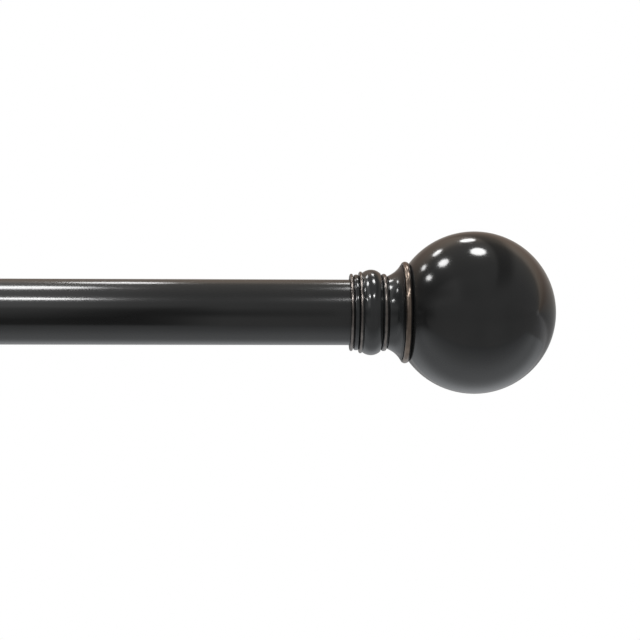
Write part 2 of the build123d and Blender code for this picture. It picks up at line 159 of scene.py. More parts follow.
class Finishes(bpy.types.PropertyGroup):
    rod_paint: colour("Rod paint", "Gloss paint of the tubes", (0.0145, 0.0147, 0.0147))
    ball_paint: colour("Ball paint", "Gloss paint of the balls", (0.0165, 0.0168, 0.0168))
    collar_paint: colour("Collar paint", "Gloss paint of the collars", (0.0165, 0.0175, 0.018))
    bronze: colour("Bronze", "Bronze of the rings, where the paint is rubbed", (0.168, 0.150, 0.138))
    rim_bronze: colour("Rim bronze", "Browner bronze of the collar's rim", (0.160, 0.127, 0.104))
    # Near black for the collar: dark glaze in its grooves, and painted shade there and on both sides of its
    # rim
    glaze_and_shade: colour("Glaze", "Dark glaze that is left in the grooves", (0.002, 0.002, 0.002))
    bracket_paint: colour("Bracket paint", "Paint of the brackets", (0.015, 0.015, 0.0155))
    nylon: colour("Nylon", "Bushing, glide, plugs and pads", (0.02, 0.02, 0.021))
    zinc: colour("Zinc", "Plated bolts, studs and inserts", (0.62, 0.61, 0.58))
    dust: colour("Dust", "Dust on what faces up", (0.16, 0.145, 0.125))


class StageSettings(bpy.types.PropertyGroup):
    camera_x: length("Camera along the rod", "From the middle of the rod", 383.9)
    camera_y: length("Camera distance", "From the wall, into the room", 515.0)
    camera_z: length("Camera height", "From the axis of the rod", -2.98)
    camera_turn: angle("Camera turn", "How far it is turned towards the ball", 1.5)
    camera_roll: angle("Camera roll", "How far it leans over", 0.12)
    lens: FloatProperty(name="Lens", description="Focal length", default=61.875, unit="CAMERA")
    floor_height: length("Floor", "Height of the floor below the rod", -400.0)
    lamp_power: FloatProperty(name="Lamp power", description="Power by a lamp's width squared", default=47.0)


class CurtainRodSettings(bpy.types.PropertyGroup):
    rod: PointerProperty(type=RodSizes, name="Rod", description="Sizes of the tubes")
    finial: PointerProperty(type=FinialSizes, name="Finial", description="Sizes of the collars and balls")
    clamp: PointerProperty(type=ClampSizes, name="Clamp", description="Sizes of the screws and pads")
    finish: PointerProperty(type=Finishes, name="Finish", description="Colours of the finishes")
    stage: PointerProperty(type=StageSettings, name="Stage", description="Camera, floor and lamps")


def settings():
    return bpy.context.scene.curtain_rod


# Profiles


def arc(start, middle, end, steps):
    """Points of the circle through three points, from the first to the last."""
    (ax, ay), (bx, by), (cx, cy) = start, middle, end
    twice = 2 * (ax * (by - cy) + bx * (cy - ay) + cx * (ay - by))
    a, b, c = ax**2 + ay**2, bx**2 + by**2, cx**2 + cy**2
    ux = (a * (by - cy) + b * (cy - ay) + c * (ay - by)) / twice
    uy = (a * (cx - bx) + b * (ax - cx) + c * (bx - ax)) / twice
    first = atan2(ay - uy, ax - ux)
    sweep = [(atan2(y - uy, x - ux) - first) % (2 * pi) for x, y in (middle, end)]
    turn = sweep[1] if sweep[0] < sweep[1] else sweep[1] - 2 * pi
    return round_run((ux, uy), hypot(ax - ux, ay - uy), first, first + turn, steps)


def round_run(centre, radius, first, last, steps):
    """Points of a circle from one angle to another."""
    angles = [first + (last - first) * i / steps for i in range(steps + 1)]
    return [(centre[0] + radius * cos(a), centre[1] + radius * sin(a)) for a in angles]


def rounded(corners, steps=5):
    """A profile whose corners, given as (along, radius, setback), are rounded off from that far away.

    A further point on each long run next to a rounded corner keeps the run's shading straight.
    """
    points = []
    for i, (x, y, setback) in enumerate(corners):
        if not setback or i in (0, len(corners) - 1):
            points.append((x, y))
            continue
        ends = []
        guards = []
        for nx, ny, _ in (corners[i - 1], corners[i + 1]):
            share = min(setback / hypot(nx - x, ny - y), 0.5)
            ends.append((x + (nx - x) * share, y + (ny - y) * share))
            guards.append([(x + (nx - x) * 2 * share, y + (ny - y) * 2 * share)] if share < 0.2 else [])
        points += guards[0]
        for k in range(steps + 1):
            t = k / steps
            bend = zip(ends[0], (x, y), ends[1])
            points.append(tuple((1 - t) ** 2 * p + 2 * t * (1 - t) * q + t**2 * r for p, q, r in bend))
        points += guards[1]
    return points


def evenly(points, step):
    """The same line with its points an even step apart."""
    points = np.array(points)
    run = np.concatenate([[0], np.cumsum(np.hypot(*np.diff(points, axis=0).T))])
    even = np.arange(0, run[-1], step)
    return np.stack([np.interp(even, run, points[:, k]) for k in (0, 1)], 1)


def softened(points, spread, step):
    """The same line with its corners rounded by a bell of that spread; its two ends stay."""
    line = evenly(points, step)
    reach = int(3 * spread / step)
    bell = np.exp(-0.5 * (np.arange(-reach, reach + 1) * step / spread) ** 2)
    bell /= bell.sum()
    padded = np.concatenate([2 * line[0] - line[reach:0:-1], line, 2 * line[-1] - line[-2 : -reach - 2 : -1]])
    return np.stack([np.convolve(padded[:, k], bell, "valid") for k in (0, 1)], 1)


# Nodes


def feed(tree, socket, source):
    """Links an output to an input, or sets the input to a plain value."""
    if isinstance(source, bpy.types.NodeSocket):
        tree.links.new(source, socket)
    else:
        socket.default_value = source


def node(tree, kind, links=(), out=0, **options):
    """An output of a new node, or all of them; links are pairs of an input and what feeds it."""
    fresh = tree.nodes.new(kind)
    for key, value in options.items():
        setattr(fresh, key, value)
    for socket, source in links:
        feed(tree, fresh.inputs[socket], source)
    return fresh.outputs if out is None else fresh.outputs[out]


def math(tree, operation, *terms):
    """The output of a Math node on numbers and sockets."""
    return node(tree, "ShaderNodeMath", enumerate(terms), operation=operation)


def axes_of(tree, vector):
    return node(tree, "ShaderNodeSeparateXYZ", [("Vector", vector)], None)


def ranged(tree, value, start, end, low=0.0, high=1.0, soft=False):
    """What lies between start and end spread over another range, with soft ends or without."""
    links = [("Value", value), ("From Min", start), ("From Max", end), ("To Min", low), ("To Max", high)]
    return node(tree, "ShaderNodeMapRange", links, interpolation_type="SMOOTHSTEP" if soft else "LINEAR")


# Node trees that make meshes

PLACING = [("Turn", "Rotation"), ("Place", "Vector"), ("Material", "Material")]
TURNING = [("Sides", "Int"), ("Path Radius", "Float")]
MERGED = 0.001 * MM
FLUTE_BLEND = 0.3 * MM
FLUTE_RUB = (0.95, 1.0)


def new_tree(name, sizes):
    """A Geometry Nodes tree with the named inputs, and what comes in through them."""
    tree = bpy.data.node_groups.new(name, "GeometryNodeTree")
    for socket_name, kind in (("Geometry", "Geometry"), *sizes, *PLACING):
        tree.interface.new_socket(socket_name, in_out="INPUT", socket_type=f"NodeSocket{kind}")
    tree.interface.new_socket("Geometry", in_out="OUTPUT", socket_type="NodeSocketGeometry")
    return tree, tree.nodes.new("NodeGroupInput").outputs


def end_tree(tree, value, geometry):
    """Places the geometry, makes it real and gives it its material."""
    links = [("Geometry", geometry), ("Rotation", value["Turn"]), ("Translation", value["Place"])]
    placed = node(tree, "GeometryNodeTransform", links)
    real = node(tree, "GeometryNodeRealizeInstances", [("Geometry", placed)])
    painted = node(tree, "GeometryNodeSetMaterial", [("Geometry", real), ("Material", value["Material"])])
    feed(tree, tree.nodes.new("NodeGroupOutput").inputs["Geometry"], painted)
    return tree


def swept_circle(tree, value):
    """The profile that comes in, swept round a circle, with its seam and poles closed."""
    profile = node(tree, "GeometryNodeMeshToCurve", [("Mesh", value["Geometry"])])
    links = [("Resolution", value["Sides"]), ("Radius", value["Path Radius"])]
    path = node(tree, "GeometryNodeCurvePrimitiveCircle", links)
    swept = node(tree, "GeometryNodeCurveToMesh", [("Curve", path), ("Profile Curve", profile)])
    return node(tree, "GeometryNodeMergeByDistance", [("Geometry", swept), ("Distance", MERGED)])


def turned_tree(name):
    tree, value = new_tree(name, TURNING)
    return end_tree(tree, value, swept_circle(tree, value))


def knob_tree(name):
    """A turned knob whose outside is cut by evenly spaced flutes."""
    sizes = [("Radius", "Float"), ("Flutes", "Int"), ("Flute Radius", "Float"), ("Flute Depth", "Float")]
    tree, value = new_tree(name, [*TURNING, *sizes])
    work = partial(math, tree)
    knob = swept_circle(tree, value)
    x, y, z = axes_of(tree, node(tree, "GeometryNodeInputPosition"))
    half = work("DIVIDE", pi, value["Flutes"])
    offset = work("WRAP", work("ARCTAN2", y, x), half, work("MULTIPLY", half, -1.0))
    centre = work("SUBTRACT", work("ADD", value["Radius"], value["Flute Radius"]), value["Flute Depth"])
    across = work("MULTIPLY", centre, work("SINE", offset))
    room = work("SUBTRACT", work("POWER", value["Flute Radius"], 2.0), work("POWER", across, 2.0))
    chord = work("SQRT", work("MAXIMUM", room, 0.0))
    flute = work("SUBTRACT", work("MULTIPLY", centre, work("COSINE", offset)), chord)
    missed = work("MULTIPLY", work("LESS_THAN", room, 0.0), value["Radius"])
    radius = work("SQRT", work("ADD", work("POWER", x, 2.0), work("POWER", y, 2.0)))
    cut = work("SMOOTH_MIN", radius, work("ADD", flute, missed), FLUTE_BLEND)
    share = work("DIVIDE", cut, work("MAXIMUM", radius, MERGED))
    links = [("X", work("MULTIPLY", x, share)), ("Y", work("MULTIPLY", y, share)), ("Z", z)]
    moved = node(tree, "ShaderNodeCombineXYZ", links)
    rub = ranged(tree, work("DIVIDE", cut, value["Radius"]), *FLUTE_RUB)
    links = [("Geometry", knob), ("Name", "rub"), ("Value", rub)]
    rubbed = node(tree, "GeometryNodeStoreNamedAttribute", links, data_type="FLOAT", domain="POINT")
    fluted = node(tree, "GeometryNodeSetPosition", [("Geometry", rubbed), ("Position", moved)])
    return end_tree(tree, value, fluted)


def thread_tree(name):
    """A ridge of the profile that comes in, swept along a right-hand screw line."""
    sizes = [("Radius", "Float"), ("Pitch", "Float"), ("Length", "Float"), ("Steps", "Int")]
    tree, value = new_tree(name, sizes)
    profile = node(tree, "GeometryNodeMeshToCurve", [("Mesh", value["Geometry"])])
    links = [
        ("Resolution", value["Steps"]),
        ("Rotations", math(tree, "DIVIDE", value["Length"], value["Pitch"])),
        ("Start Radius", value["Radius"]),
        ("End Radius", value["Radius"]),
        ("Height", value["Length"]),
        ("Reverse", True),
    ]
    spiral = node(tree, "GeometryNodeCurveSpiral", links)
    upright = node(tree, "GeometryNodeSetCurveNormal", [("Curve", spiral)], mode="Z_UP")
    links = [("Curve", upright), ("Profile Curve", profile), ("Fill Caps", True)]
    return end_tree(tree, value, node(tree, "GeometryNodeCurveToMesh", links))


TREES = {"Turned piece": turned_tree, "Fluted knob": knob_tree, "Screw thread": thread_tree}

# Making pieces


def new_object(name, data, place=(0, 0, 0), turn=(0, 0, 0)):
    """A new object in the scene."""
    fresh = bpy.data.objects.new(name, data)
    fresh.location = place
    fresh.rotation_euler = turn
    bpy.context.scene.collection.objects.link(fresh)
    return fresh


def line_mesh(name, points, closed=False, marks=None):
    """A line of edges in the xy plane, with the marks as attributes of its points."""
    mesh = bpy.data.meshes.new(name)
    count = len(points)
    edges = [(i, (i + 1) % count) for i in range(count if closed else count - 1)]
    mesh.from_pydata([(x, y, 0) for x, y in points], edges, [])
    for mark, values in (marks or {}).items():
        mesh.attributes.new(mark, "FLOAT", "POINT").data.foreach_set("value", values)
    return mesh


def settled(shape, mesh):
    """The mesh, made from a shape that is done with, its faces pointing outwards."""
    bmesh.ops.recalc_face_normals(shape, faces=shape.faces)
    shape.to_mesh(mesh)
    shape.free()
    return mesh


def worked_out(piece):
    """The plain mesh that an object's modifier makes; the object itself goes."""
    graph = bpy.context.evaluated_depsgraph_get()
    made = bpy.data.meshes.new_from_object(piece.evaluated_get(graph), depsgraph=graph)
    piece.modifiers.clear()
    bpy.data.objects.remove(piece)
    return made


def grown(tree_name, mesh, finish, turn, place, sizes):
    """The plain mesh that a node tree makes of a starting mesh."""
    tree = bpy.data.node_groups.get(tree_name) or TREES[tree_name](tree_name)
    inputs = {**sizes, "Turn": turn, "Place": place, "Material": finish_called(finish)}
    piece = new_object(mesh.name, mesh)
    modifier = piece.modifiers.new("Shape", "NODES")
    modifier.node_group = tree
    for item in tree.interface.items_tree:
        if item.in_out == "INPUT" and item.name in inputs:
            modifier[item.identifier] = inputs[item.name]
    made = worked_out(piece)
    shape = bmesh.new()
    shape.from_mesh(made)
    return settled(shape, made)


def turned(name, profile, turn, place, finish, sides=128, closed=False, marks=None):
    """Mesh of a turned piece. An open profile starts and ends on the axis; a closed one has a bore."""
    middle = sum(r for _, r in profile) / len(profile)
    line = line_mesh(name, [(r - middle, -u) for u, r in profile], closed, marks)
    return grown("Turned piece", line, finish, turn, place, {"Sides": sides, "Path Radius": middle})


# Shares of a thread's pitch that its foot and its flat crest take up, and how far it is sunk into the shank
THREAD_FOOT = 0.92
THREAD_FLAT = 0.12
THREAD_SUNK = 1.2


def thread(name, radius, depth, pitch, run, turn, place, finish, steps=40):
    """Mesh of a thread's ridge, whose crest has that radius."""
    foot = THREAD_FOOT / 2 * pitch
    flat = THREAD_FLAT / 2 * pitch
    sunk = -THREAD_SUNK * depth
    line = line_mesh(name, [(0, flat), (0, -flat), (sunk, -foot), (sunk, foot)], closed=True)
    sizes = {"Radius": radius, "Pitch": pitch, "Length": run, "Steps": steps}
    return grown("Screw thread", line, finish, turn, place, sizes)


def finish_piece(name, meshes, body, replaced, sharp=35):
    """One piece of the object from its meshes: shaded, riding on its body and standing for its CAD node."""
    mesh = meshes[0]
    if len(meshes) > 1:
        whole = bmesh.new()
        for part in meshes:
            whole.from_mesh(part)
        whole.to_mesh(mesh)
        whole.free()
    mesh.shade_smooth()
    mesh.set_sharp_from_angle(angle=radians(sharp))
    mesh.name = name
    piece = new_object(name, mesh)
    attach(piece, body)
    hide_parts(replaced)


def paint_nodes(names, finish):
    """Gives CAD nodes that stay in view their finish."""
    for name in names:
        materials = NODES[name].data.materials
        materials.clear()
        materials.append(finish_called(finish))


# Effects that several finishes share: the ranges of noise that make smudges and a rubbed edge, the least rub
# that shows, and how far up what gathers dust has to face
SMUDGES = (0.35, 0.7)
RUBBED = (0.35, 0.65)
LEAST_RUB = 0.02
FACING_UP = (0.3, 1.0)


def noise(tree, place, scale, detail, roughness):
    links = [("Vector", place), ("Scale", scale), ("Detail", detail), ("Roughness", roughness)]
    return node(tree, "ShaderNodeTexNoise", links)


def shader_group(name, inputs, outputs):
    """A group with inputs that have defaults, what comes in through them, and its outputs' ends."""
    group = bpy.data.node_groups.new(name, "ShaderNodeTree")
    group.interface.new_socket("Vector", in_out="INPUT", socket_type="NodeSocketVector")
    for socket_name, default in inputs.items():
        socket = group.interface.new_socket(socket_name, in_out="INPUT", socket_type="NodeSocketFloat")
        socket.default_value = default
    for socket_name in outputs:
        group.interface.new_socket(socket_name, in_out="OUTPUT", socket_type="NodeSocketFloat")
    return group, group.nodes.new("NodeGroupInput").outputs, group.nodes.new("NodeGroupOutput").inputs


def paint_film(name):
    """Sprayed paint: a fine peel, slow ripples along the surface, and faint smudges."""
    inputs = {"Peel Scale": 900.0, "Peel": 0.05, "Ripple Scale": 24.0, "Ripple": 1.0, "Smudge Scale": 60.0}
    group, value, out = shader_group(name, inputs, ["Height", "Smudge"])
    peel = noise(group, value["Vector"], value["Peel Scale"], 2.0, 0.4)
    ripple = noise(group, value["Vector"], value["Ripple Scale"], 1.0, 0.3)
    smudge = noise(group, value["Vector"], value["Smudge Scale"], 2.0, 0.5)
    low = math(group, "MULTIPLY", ripple, value["Ripple"])
    feed(group, out["Height"], math(group, "ADD", math(group, "MULTIPLY", peel, value["Peel"]), low))
    feed(group, out["Smudge"], ranged(group, smudge, *SMUDGES, soft=True))
    return group


def rubbed_edge(name):
    """Paint rubbed through where the rub mark is high, with a ragged edge."""
    group, value, out = shader_group(name, {"Rub": 0.0, "Ragged": 0.5, "Scale": 620.0}, ["Mask", "Grain"])
    work = partial(math, group)
    grain = noise(group, value["Vector"], value["Scale"], 2.0, 0.5)
    uneven = work("MULTIPLY", work("SUBTRACT", grain, 0.5), work("MULTIPLY", value["Ragged"], 2.0))
    mask = ranged(group, work("ADD", value["Rub"], uneven), *RUBBED, soft=True)
    feed(group, out["Mask"], work("MULTIPLY", mask, work("GREATER_THAN", value["Rub"], LEAST_RUB)))
    feed(group, out["Grain"], grain)
    return group


def settled_dust(name):
    """A thin uneven film of dust on what faces up."""
    group, value, out = shader_group(name, {"Amount": 0.3, "Scale": 130.0}, ["Mask"])
    patches = noise(group, value["Vector"], value["Scale"], 6.0, 0.7)
    normal = node(group, "ShaderNodeNewGeometry", out="Normal")
    facing = ranged(group, axes_of(group, normal)["Z"], *FACING_UP, soft=True)
    lying = math(group, "MULTIPLY", facing, patches)
    feed(group, out["Mask"], math(group, "MULTIPLY", lying, value["Amount"]))
    return group


EFFECTS = {"Paint film": paint_film, "Rubbed edge": rubbed_edge, "Settled dust": settled_dust}

# Finishes


def effect(tree, name, place, **values):
    """The outputs of an effect that is placed in a material with its own values."""
    group = bpy.data.node_groups.get(name) or EFFECTS[name](name)
    links = [("Vector", place), *((key.replace("_", " ").title(), value) for key, value in values.items())]
    return node(tree, "ShaderNodeGroup", links, None, node_tree=group)


def mixed(tree, share, first, second):
    """A mix of two colours, which are outputs or plain colours."""
    ends = [end if isinstance(end, bpy.types.NodeSocket) else (*end, 1) for end in (first, second)]
    return node(tree, "ShaderNodeMix", [(0, share), (6, ends[0]), (7, ends[1])], 2, data_type="RGBA")


def attribute(tree, name):
    return node(tree, "ShaderNodeAttribute", out="Fac", attribute_name=name)


def stretched(tree, place, share):
    """The place, with what lies on it drawn out along the rod or, with a share over 1, pushed together."""
    return node(tree, "ShaderNodeMapping", [("Vector", place), ("Scale", (share, 1, 1))])


def new_finish(name):
    """A material, its tree, its shader's inputs and the coordinates of the piece."""
    material = bpy.data.materials.new(name)
    material.use_nodes = True
    tree = material.node_tree
    place = node(tree, "ShaderNodeTexCoord", out="Object")
    return material, tree, tree.nodes["Principled BSDF"].inputs, place


def set_bump(tree, shader, height, distance):
    links = [("Height", height), ("Distance", distance), ("Strength", 1.0)]
    feed(tree, shader["Normal"], node(tree, "ShaderNodeBump", links))


def shaded(tree, share, base, shades):
    """A mix of two shades of a colour."""
    return mixed(tree, share, *(tuple(min(1.0, c * shade) for c in base) for shade in shades))


# Heights of the films, in metres, and the share of the rub mark that a knob's flutes show
FINE_BUMP = 0.0002
GLOSS_BUMP = 0.0004
FLUTE_WEAR = 0.5

# The collar's paint: shades of paint and bronze, how far its lumps are pushed together and their scale,
# roughness of the paint and of what is rubbed, and how much rougher the places with glaze and painted shade
# are
COLLAR_SHADES = (0.9, 1.12)
BRONZE_SHADES = (0.55, 1.35)
LUMPS = (4, 260.0)
COLLAR_ROUGHNESS = (0.13, 0.25)
GLAZE_AND_SHADE_ROUGHNESS = 0.2


def film_finish(name, base, shades, roughness, film, dust=0, bump=FINE_BUMP, along=1, metallic=0, worn=None):
    """Paint, nylon or plating with a film's grain, ripples and smudges, and with dust or worn flutes."""
    material, tree, shader, place = new_finish(name)
    if along != 1:
        place = stretched(tree, place, along)
    coat = effect(tree, "Paint film", place, **film)
    surface = shaded(tree, coat["Smudge"], base, shades)
    shader["Metallic"].default_value = metallic
    if worn:
        rub = math(tree, "MULTIPLY", attribute(tree, "rub"), FLUTE_WEAR)
        edge = effect(tree, "Rubbed edge", place, rub=rub, scale=700.0)
        surface = mixed(tree, edge["Mask"], surface, worn)
        feed(tree, shader["Metallic"], edge["Mask"])
    if dust:
        dusty = effect(tree, "Settled dust", place, amount=dust)
        surface = mixed(tree, dusty["Mask"], surface, settings().finish.dust)
    feed(tree, shader["Base Color"], surface)
    feed(tree, shader["Roughness"], ranged(tree, coat["Smudge"], 0, 1, *roughness))
    set_bump(tree, shader, coat["Height"], bump)
    return material


def collar_finish(name):
    """Gloss paint in the hollows, lumpy bronze on the crests of the rings, dark glaze and painted shade in
    the grooves, and painted shade beside the rim.
    """
    finish = settings().finish
    material, tree, shader, place = new_finish(name)
    film = effect(tree, "Paint film", place, ripple=0.15, peel=0.0)
    rub, recess, brown = (attribute(tree, mark) for mark in ("rub", "recess", "brown"))
    edge = effect(tree, "Rubbed edge", place, rub=rub, scale=420.0)
    lumps = noise(tree, stretched(tree, place, LUMPS[0]), LUMPS[1], 1.0, 0.4)
    paint = shaded(tree, film["Smudge"], finish.collar_paint, COLLAR_SHADES)
    rings = shaded(tree, edge["Grain"], finish.bronze, BRONZE_SHADES)
    rim = shaded(tree, edge["Grain"], finish.rim_bronze, BRONZE_SHADES)
    rubbed = mixed(tree, edge["Mask"], paint, mixed(tree, brown, rings, rim))
    # Painted shade: the grooves and both sides of the rim are turned near black, with dark glaze in the
    # grooves
    feed(tree, shader["Base Color"], mixed(tree, recess, rubbed, finish.glaze_and_shade))
    feed(tree, shader["Metallic"], edge["Mask"])
    worn = ranged(tree, edge["Mask"], 0, 1, *COLLAR_ROUGHNESS)
    rough_glaze_and_shade = math(tree, "MULTIPLY", recess, GLAZE_AND_SHADE_ROUGHNESS)
    feed(tree, shader["Roughness"], math(tree, "ADD", worn, rough_glaze_and_shade))
    beaten = math(tree, "MULTIPLY", lumps, rub)
    set_bump(tree, shader, math(tree, "ADD", film["Height"], beaten), FINE_BUMP)
    return material


def finish_called(name):
    """A finish by its name, made when it is first asked for."""
    if name in bpy.data.materials:
        return bpy.data.materials[name]
    if name == "rubbed_collar_paint":
        return collar_finish(name)
    colours = settings().finish
    gloss = {"shades": (0.92, 1.1), "dust": 0.06, "bump": GLOSS_BUMP}
    satin = {
        "base": colours.bracket_paint,
        "shades": (0.85, 1.2),
        "roughness": (0.2, 0.33),
        "film": {"peel_scale": 1500.0, "peel": 0.12, "ripple": 0.15, "smudge_scale": 90.0},
        "dust": 0.12,
    }
    values = {
        "gloss_rod_paint": {
            **gloss,
            "base": colours.rod_paint,
            "roughness": (0.155, 0.17825),
            "film": {"ripple": 1.6, "peel": 0.004},
            "along": 0.4,
        },
        "gloss_ball_paint": {
            **gloss,
            "base": colours.ball_paint,
            "roughness": (0.12, 0.138),
            "film": {"ripple": 0.25, "peel": 0.004},
        },
        "satin_bracket_paint": satin,
        "worn_knob_paint": {**satin, "worn": colours.bronze},
        "moulded_nylon": {
            "base": colours.nylon,
            "shades": (0.85, 1.25),
            "roughness": (0.42, 0.55),
            "film": {"peel_scale": 2600.0, "peel": 0.3, "ripple": 0.1, "smudge_scale": 150.0},
        },
        "bright_zinc": {
            "base": colours.zinc,
            "shades": (0.8, 1.0),
            "roughness": (0.24, 0.4),
            "film": {"peel_scale": 2200.0, "peel": 0.1, "ripple": 0.1, "smudge_scale": 300.0},
            "metallic": 1,
        },
    }
    return film_finish(name, **values[name])


# Operators


class CURTAINROD_OT_tubes(bpy.types.Operator):
    """Drawn steel tubes of the rod, with softly broken ends"""

    bl_idname = "curtain_rod.tubes"
    bl_label = "Tubes"

    def execute(self, context):
        size = settings().rod
        reach = size.mouth + size.tube_seat
        tubes = {
            "outer_tube": (size.outer_end, reach, size.rod_radius, "outer_rod"),
            "inner_tube": (-reach, size.inner_end, size.inner_radius, "inner_rod"),
        }
        for name, (start, end, radius, body) in tubes.items():
            run = end - start
            bore = radius - size.tube_wall
            walls = [(0, bore), (0, radius), (run, radius), (run, bore)]
            corners = [*((along, r, size.tube_edge) for along, r in walls), (0, bore, 0)]
            place = (start, -size.projection, 0)
            profile = rounded(corners, 3)[:-1]
            mesh = turned(name, profile, ALONG_X[1], place, "gloss_rod_paint", sides=144, closed=True)
            finish_piece(f"drawn_{name}", [mesh], body, name)
        return {"FINISHED"}


class CURTAINROD_OT_nylon_parts(bpy.types.Operator):
    """Flanged bushing in the outer tube's mouth, and the finish of the glide and the end plugs"""

    bl_idname = "curtain_rod.nylon_parts"
    bl_label = "Nylon parts"

    def execute(self, context):
        size = settings().rod
        bore = size.inner_radius + size.slide_gap
        outside = size.rod_radius - size.tube_wall - size.press_gap
        flange = size.rod_radius + size.bushing_rise
        corners = [
            (size.bushing_length, bore, 0),
            (-size.bushing_flange, bore, size.bushing_round),
            (-size.bushing_flange, flange, size.bushing_round),
            (-size.seat_gap, flange, size.bushing_round),
            (-size.seat_gap, outside, 0),
            (size.bushing_length, outside, 0),
        ]
        place = (size.outer_end, -size.projection, 0)
        mesh = turned("bushing", rounded(corners), ALONG_X[1], place, "moulded_nylon", closed=True)
        finish_piece("flanged_bushing", [mesh], "outer_rod", "mouth_bushing")
        paint_nodes(["inner_glide", "right_end_plug", "left_end_plug"], "moulded_nylon")
        return {"FINISHED"}


# The collar's turned parts from its mouth, in millimetres: width, heights above the neck where each starts,
# half way and where it ends, the groove after it, and the shares of its width between which it is rubbed, how
# far and how brown
COLLAR_TURNING = [
    (1.15, 0.0, 0.5, 0.0, 0.5, (0.0, 0.88, 0.95, 0)),
    (1.55, 0.0, 0.18, 0.0, 0.3, None),
    (1.3, 0.8, 1.35, 0.8, 0.0, (0.05, 0.7, 0.7, 0)),
    (6.95, 0.8, 2.09, 0.7, 0.5, None),
    (1.8, 0.1, 0.5, 0.1, 0.5, (0.25, 0.82, 0.8, 0)),
    (2.75, -0.42, 0.27, 1.15, 0.0, None),
    (2.6, 1.15, 2.37, 4.12, 0.25, None),
    (2.4, 4.6, 5.2, 4.7, 0.0, (0.02, 0.8, 1.0, 1)),
]
COLLAR_LENGTH = sum(part[0] + part[4] for part in COLLAR_TURNING) * MM

# In millimetres: where painted shade darkens both sides of the rim, the width of its soft edges, the height
# over which dark glaze and painted shade fill a groove, the slope of a groove's walls, and how far a mark
# reaches past its part
RIM_SHADE = [(19.1, 20.15), (22.1, 23.0)]
RIM_SHADE_EDGE = 0.3
GROOVE_SHADE_DEPTH = 0.25
GROOVE_SLOPE = 0.12
MARK_REACH = 0.02

# Share of a ring's width over which its rubbing fades, and the bare ends of the collar in millimetres
RUB_FADE = 0.2
BARE_ENDS = (0.05, 0.03)

# The step that the collar's outline is worked out in, how many steps make one of its faces, and the sides
# round collars and balls
COLLAR_STEP = 0.02 * MM
COLLAR_FACE = 5
FINIAL_SIDES = 160


def within_one(value):
    return max(0, min(1, value))


def collar_outline(finial):
    """The outside of the collar, from its mouth to its rim, with square grooves."""
    points = [(0, finial.socket_radius)]
    start = 0
    for number, (width, first, middle, last, groove, _) in enumerate(COLLAR_TURNING):
        end = start + width
        heights = [finial.neck_radius + h * MM for h in (first, middle, last)]
        points += arc(*zip([start * MM, (start + width / 2) * MM, end * MM], heights), 64)
        start = end + groove
        if groove:
            following = COLLAR_TURNING[number + 1][1]
            floor = finial.neck_radius + min(last, following) * MM - finial.groove
            points += [((end + GROOVE_SLOPE) * MM, floor), ((start - GROOVE_SLOPE) * MM, floor)]
    points.append((COLLAR_LENGTH, finial.cup_radius))
    return points


def collar_marks(profile, finial):
    """For each point of the profile, how far and how brown it is rubbed and how much dark glaze and painted
    shade lies on it.
    """
    marks = {"rub": [], "recess": [], "brown": []}
    for along, radius in profile:
        u = along / MM
        height = (radius - finial.neck_radius) / MM
        start = 0
        rub = 0
        brown = 0
        # Painted shade on both sides of the rim
        recess = max(within_one(min(u - low, high - u) / RIM_SHADE_EDGE) for low, high in RIM_SHADE)
        for width, first, _, last, groove, worn in COLLAR_TURNING:
            end = start + width
            foot = min(first, last)
            on_part = start - MARK_REACH <= u <= end + MARK_REACH
            if worn and on_part:
                across = (u - start) / width
                rub = worn[2] * within_one(0.5 + min(across - worn[0], worn[1] - across) / RUB_FADE)
                brown = worn[3]
            # Dark glaze and painted shade in the grooves and the low places of a part
            if end < u < end + groove or (on_part and height < foot - MARK_REACH):
                recess = max(recess, within_one((foot - height) / GROOVE_SHADE_DEPTH))
            start = end + groove
        inside = BARE_ENDS[0] < u < COLLAR_LENGTH / MM - BARE_ENDS[1]
        for mark, value in (("rub", rub if inside else 0), ("recess", recess), ("brown", brown)):
            marks[mark].append(value)
    return marks


def ball_centre(finial):
    """Distance from the collar's mouth to the middle of the ball."""
    return COLLAR_LENGTH + sqrt((finial.ball_radius + finial.ball_gap) ** 2 - finial.cup_radius**2)


class CURTAINROD_OT_collars(bpy.types.Operator):
    """Turned collars with rings, bead and cove, and a cup for the ball"""

    bl_idname = "curtain_rod.collars"
    bl_label = "Collars"

    def execute(self, context):
        finial = settings().finial
        rod = settings().rod
        seat = finial.ball_radius + finial.ball_gap
        centre = ball_centre(finial)
        outside = softened(collar_outline(finial), finial.softness, COLLAR_STEP)[::COLLAR_FACE]
        first = atan2(finial.cup_radius, COLLAR_LENGTH - centre)
        last = atan2(finial.stud_hole, -sqrt(seat**2 - finial.stud_hole**2))
        cup = round_run((centre, 0), seat, first, last, 16)[1:]
        bore = [(finial.socket_depth, finial.stud_hole), (finial.socket_depth, finial.socket_radius)]
        profile = [*(tuple(point) for point in outside), *cup, *bore]
        marks = collar_marks(profile, finial)
        for side, out in OUTWARD.items():
            node_name = f"{side}_collar"
            place = (out * rod.mouth, -rod.projection, 0)
            finish = "rubbed_collar_paint"
            mesh = turned("collar", profile, ALONG_X[out], place, finish, FINIAL_SIDES, True, marks)
            finish_piece(f"{side}_turned_collar", [mesh], node_name, node_name, 50)
        return {"FINISHED"}


# Depth of a thread as a share of its pitch
STUD_THREAD = 0.6
CLAMP_THREAD = 0.55


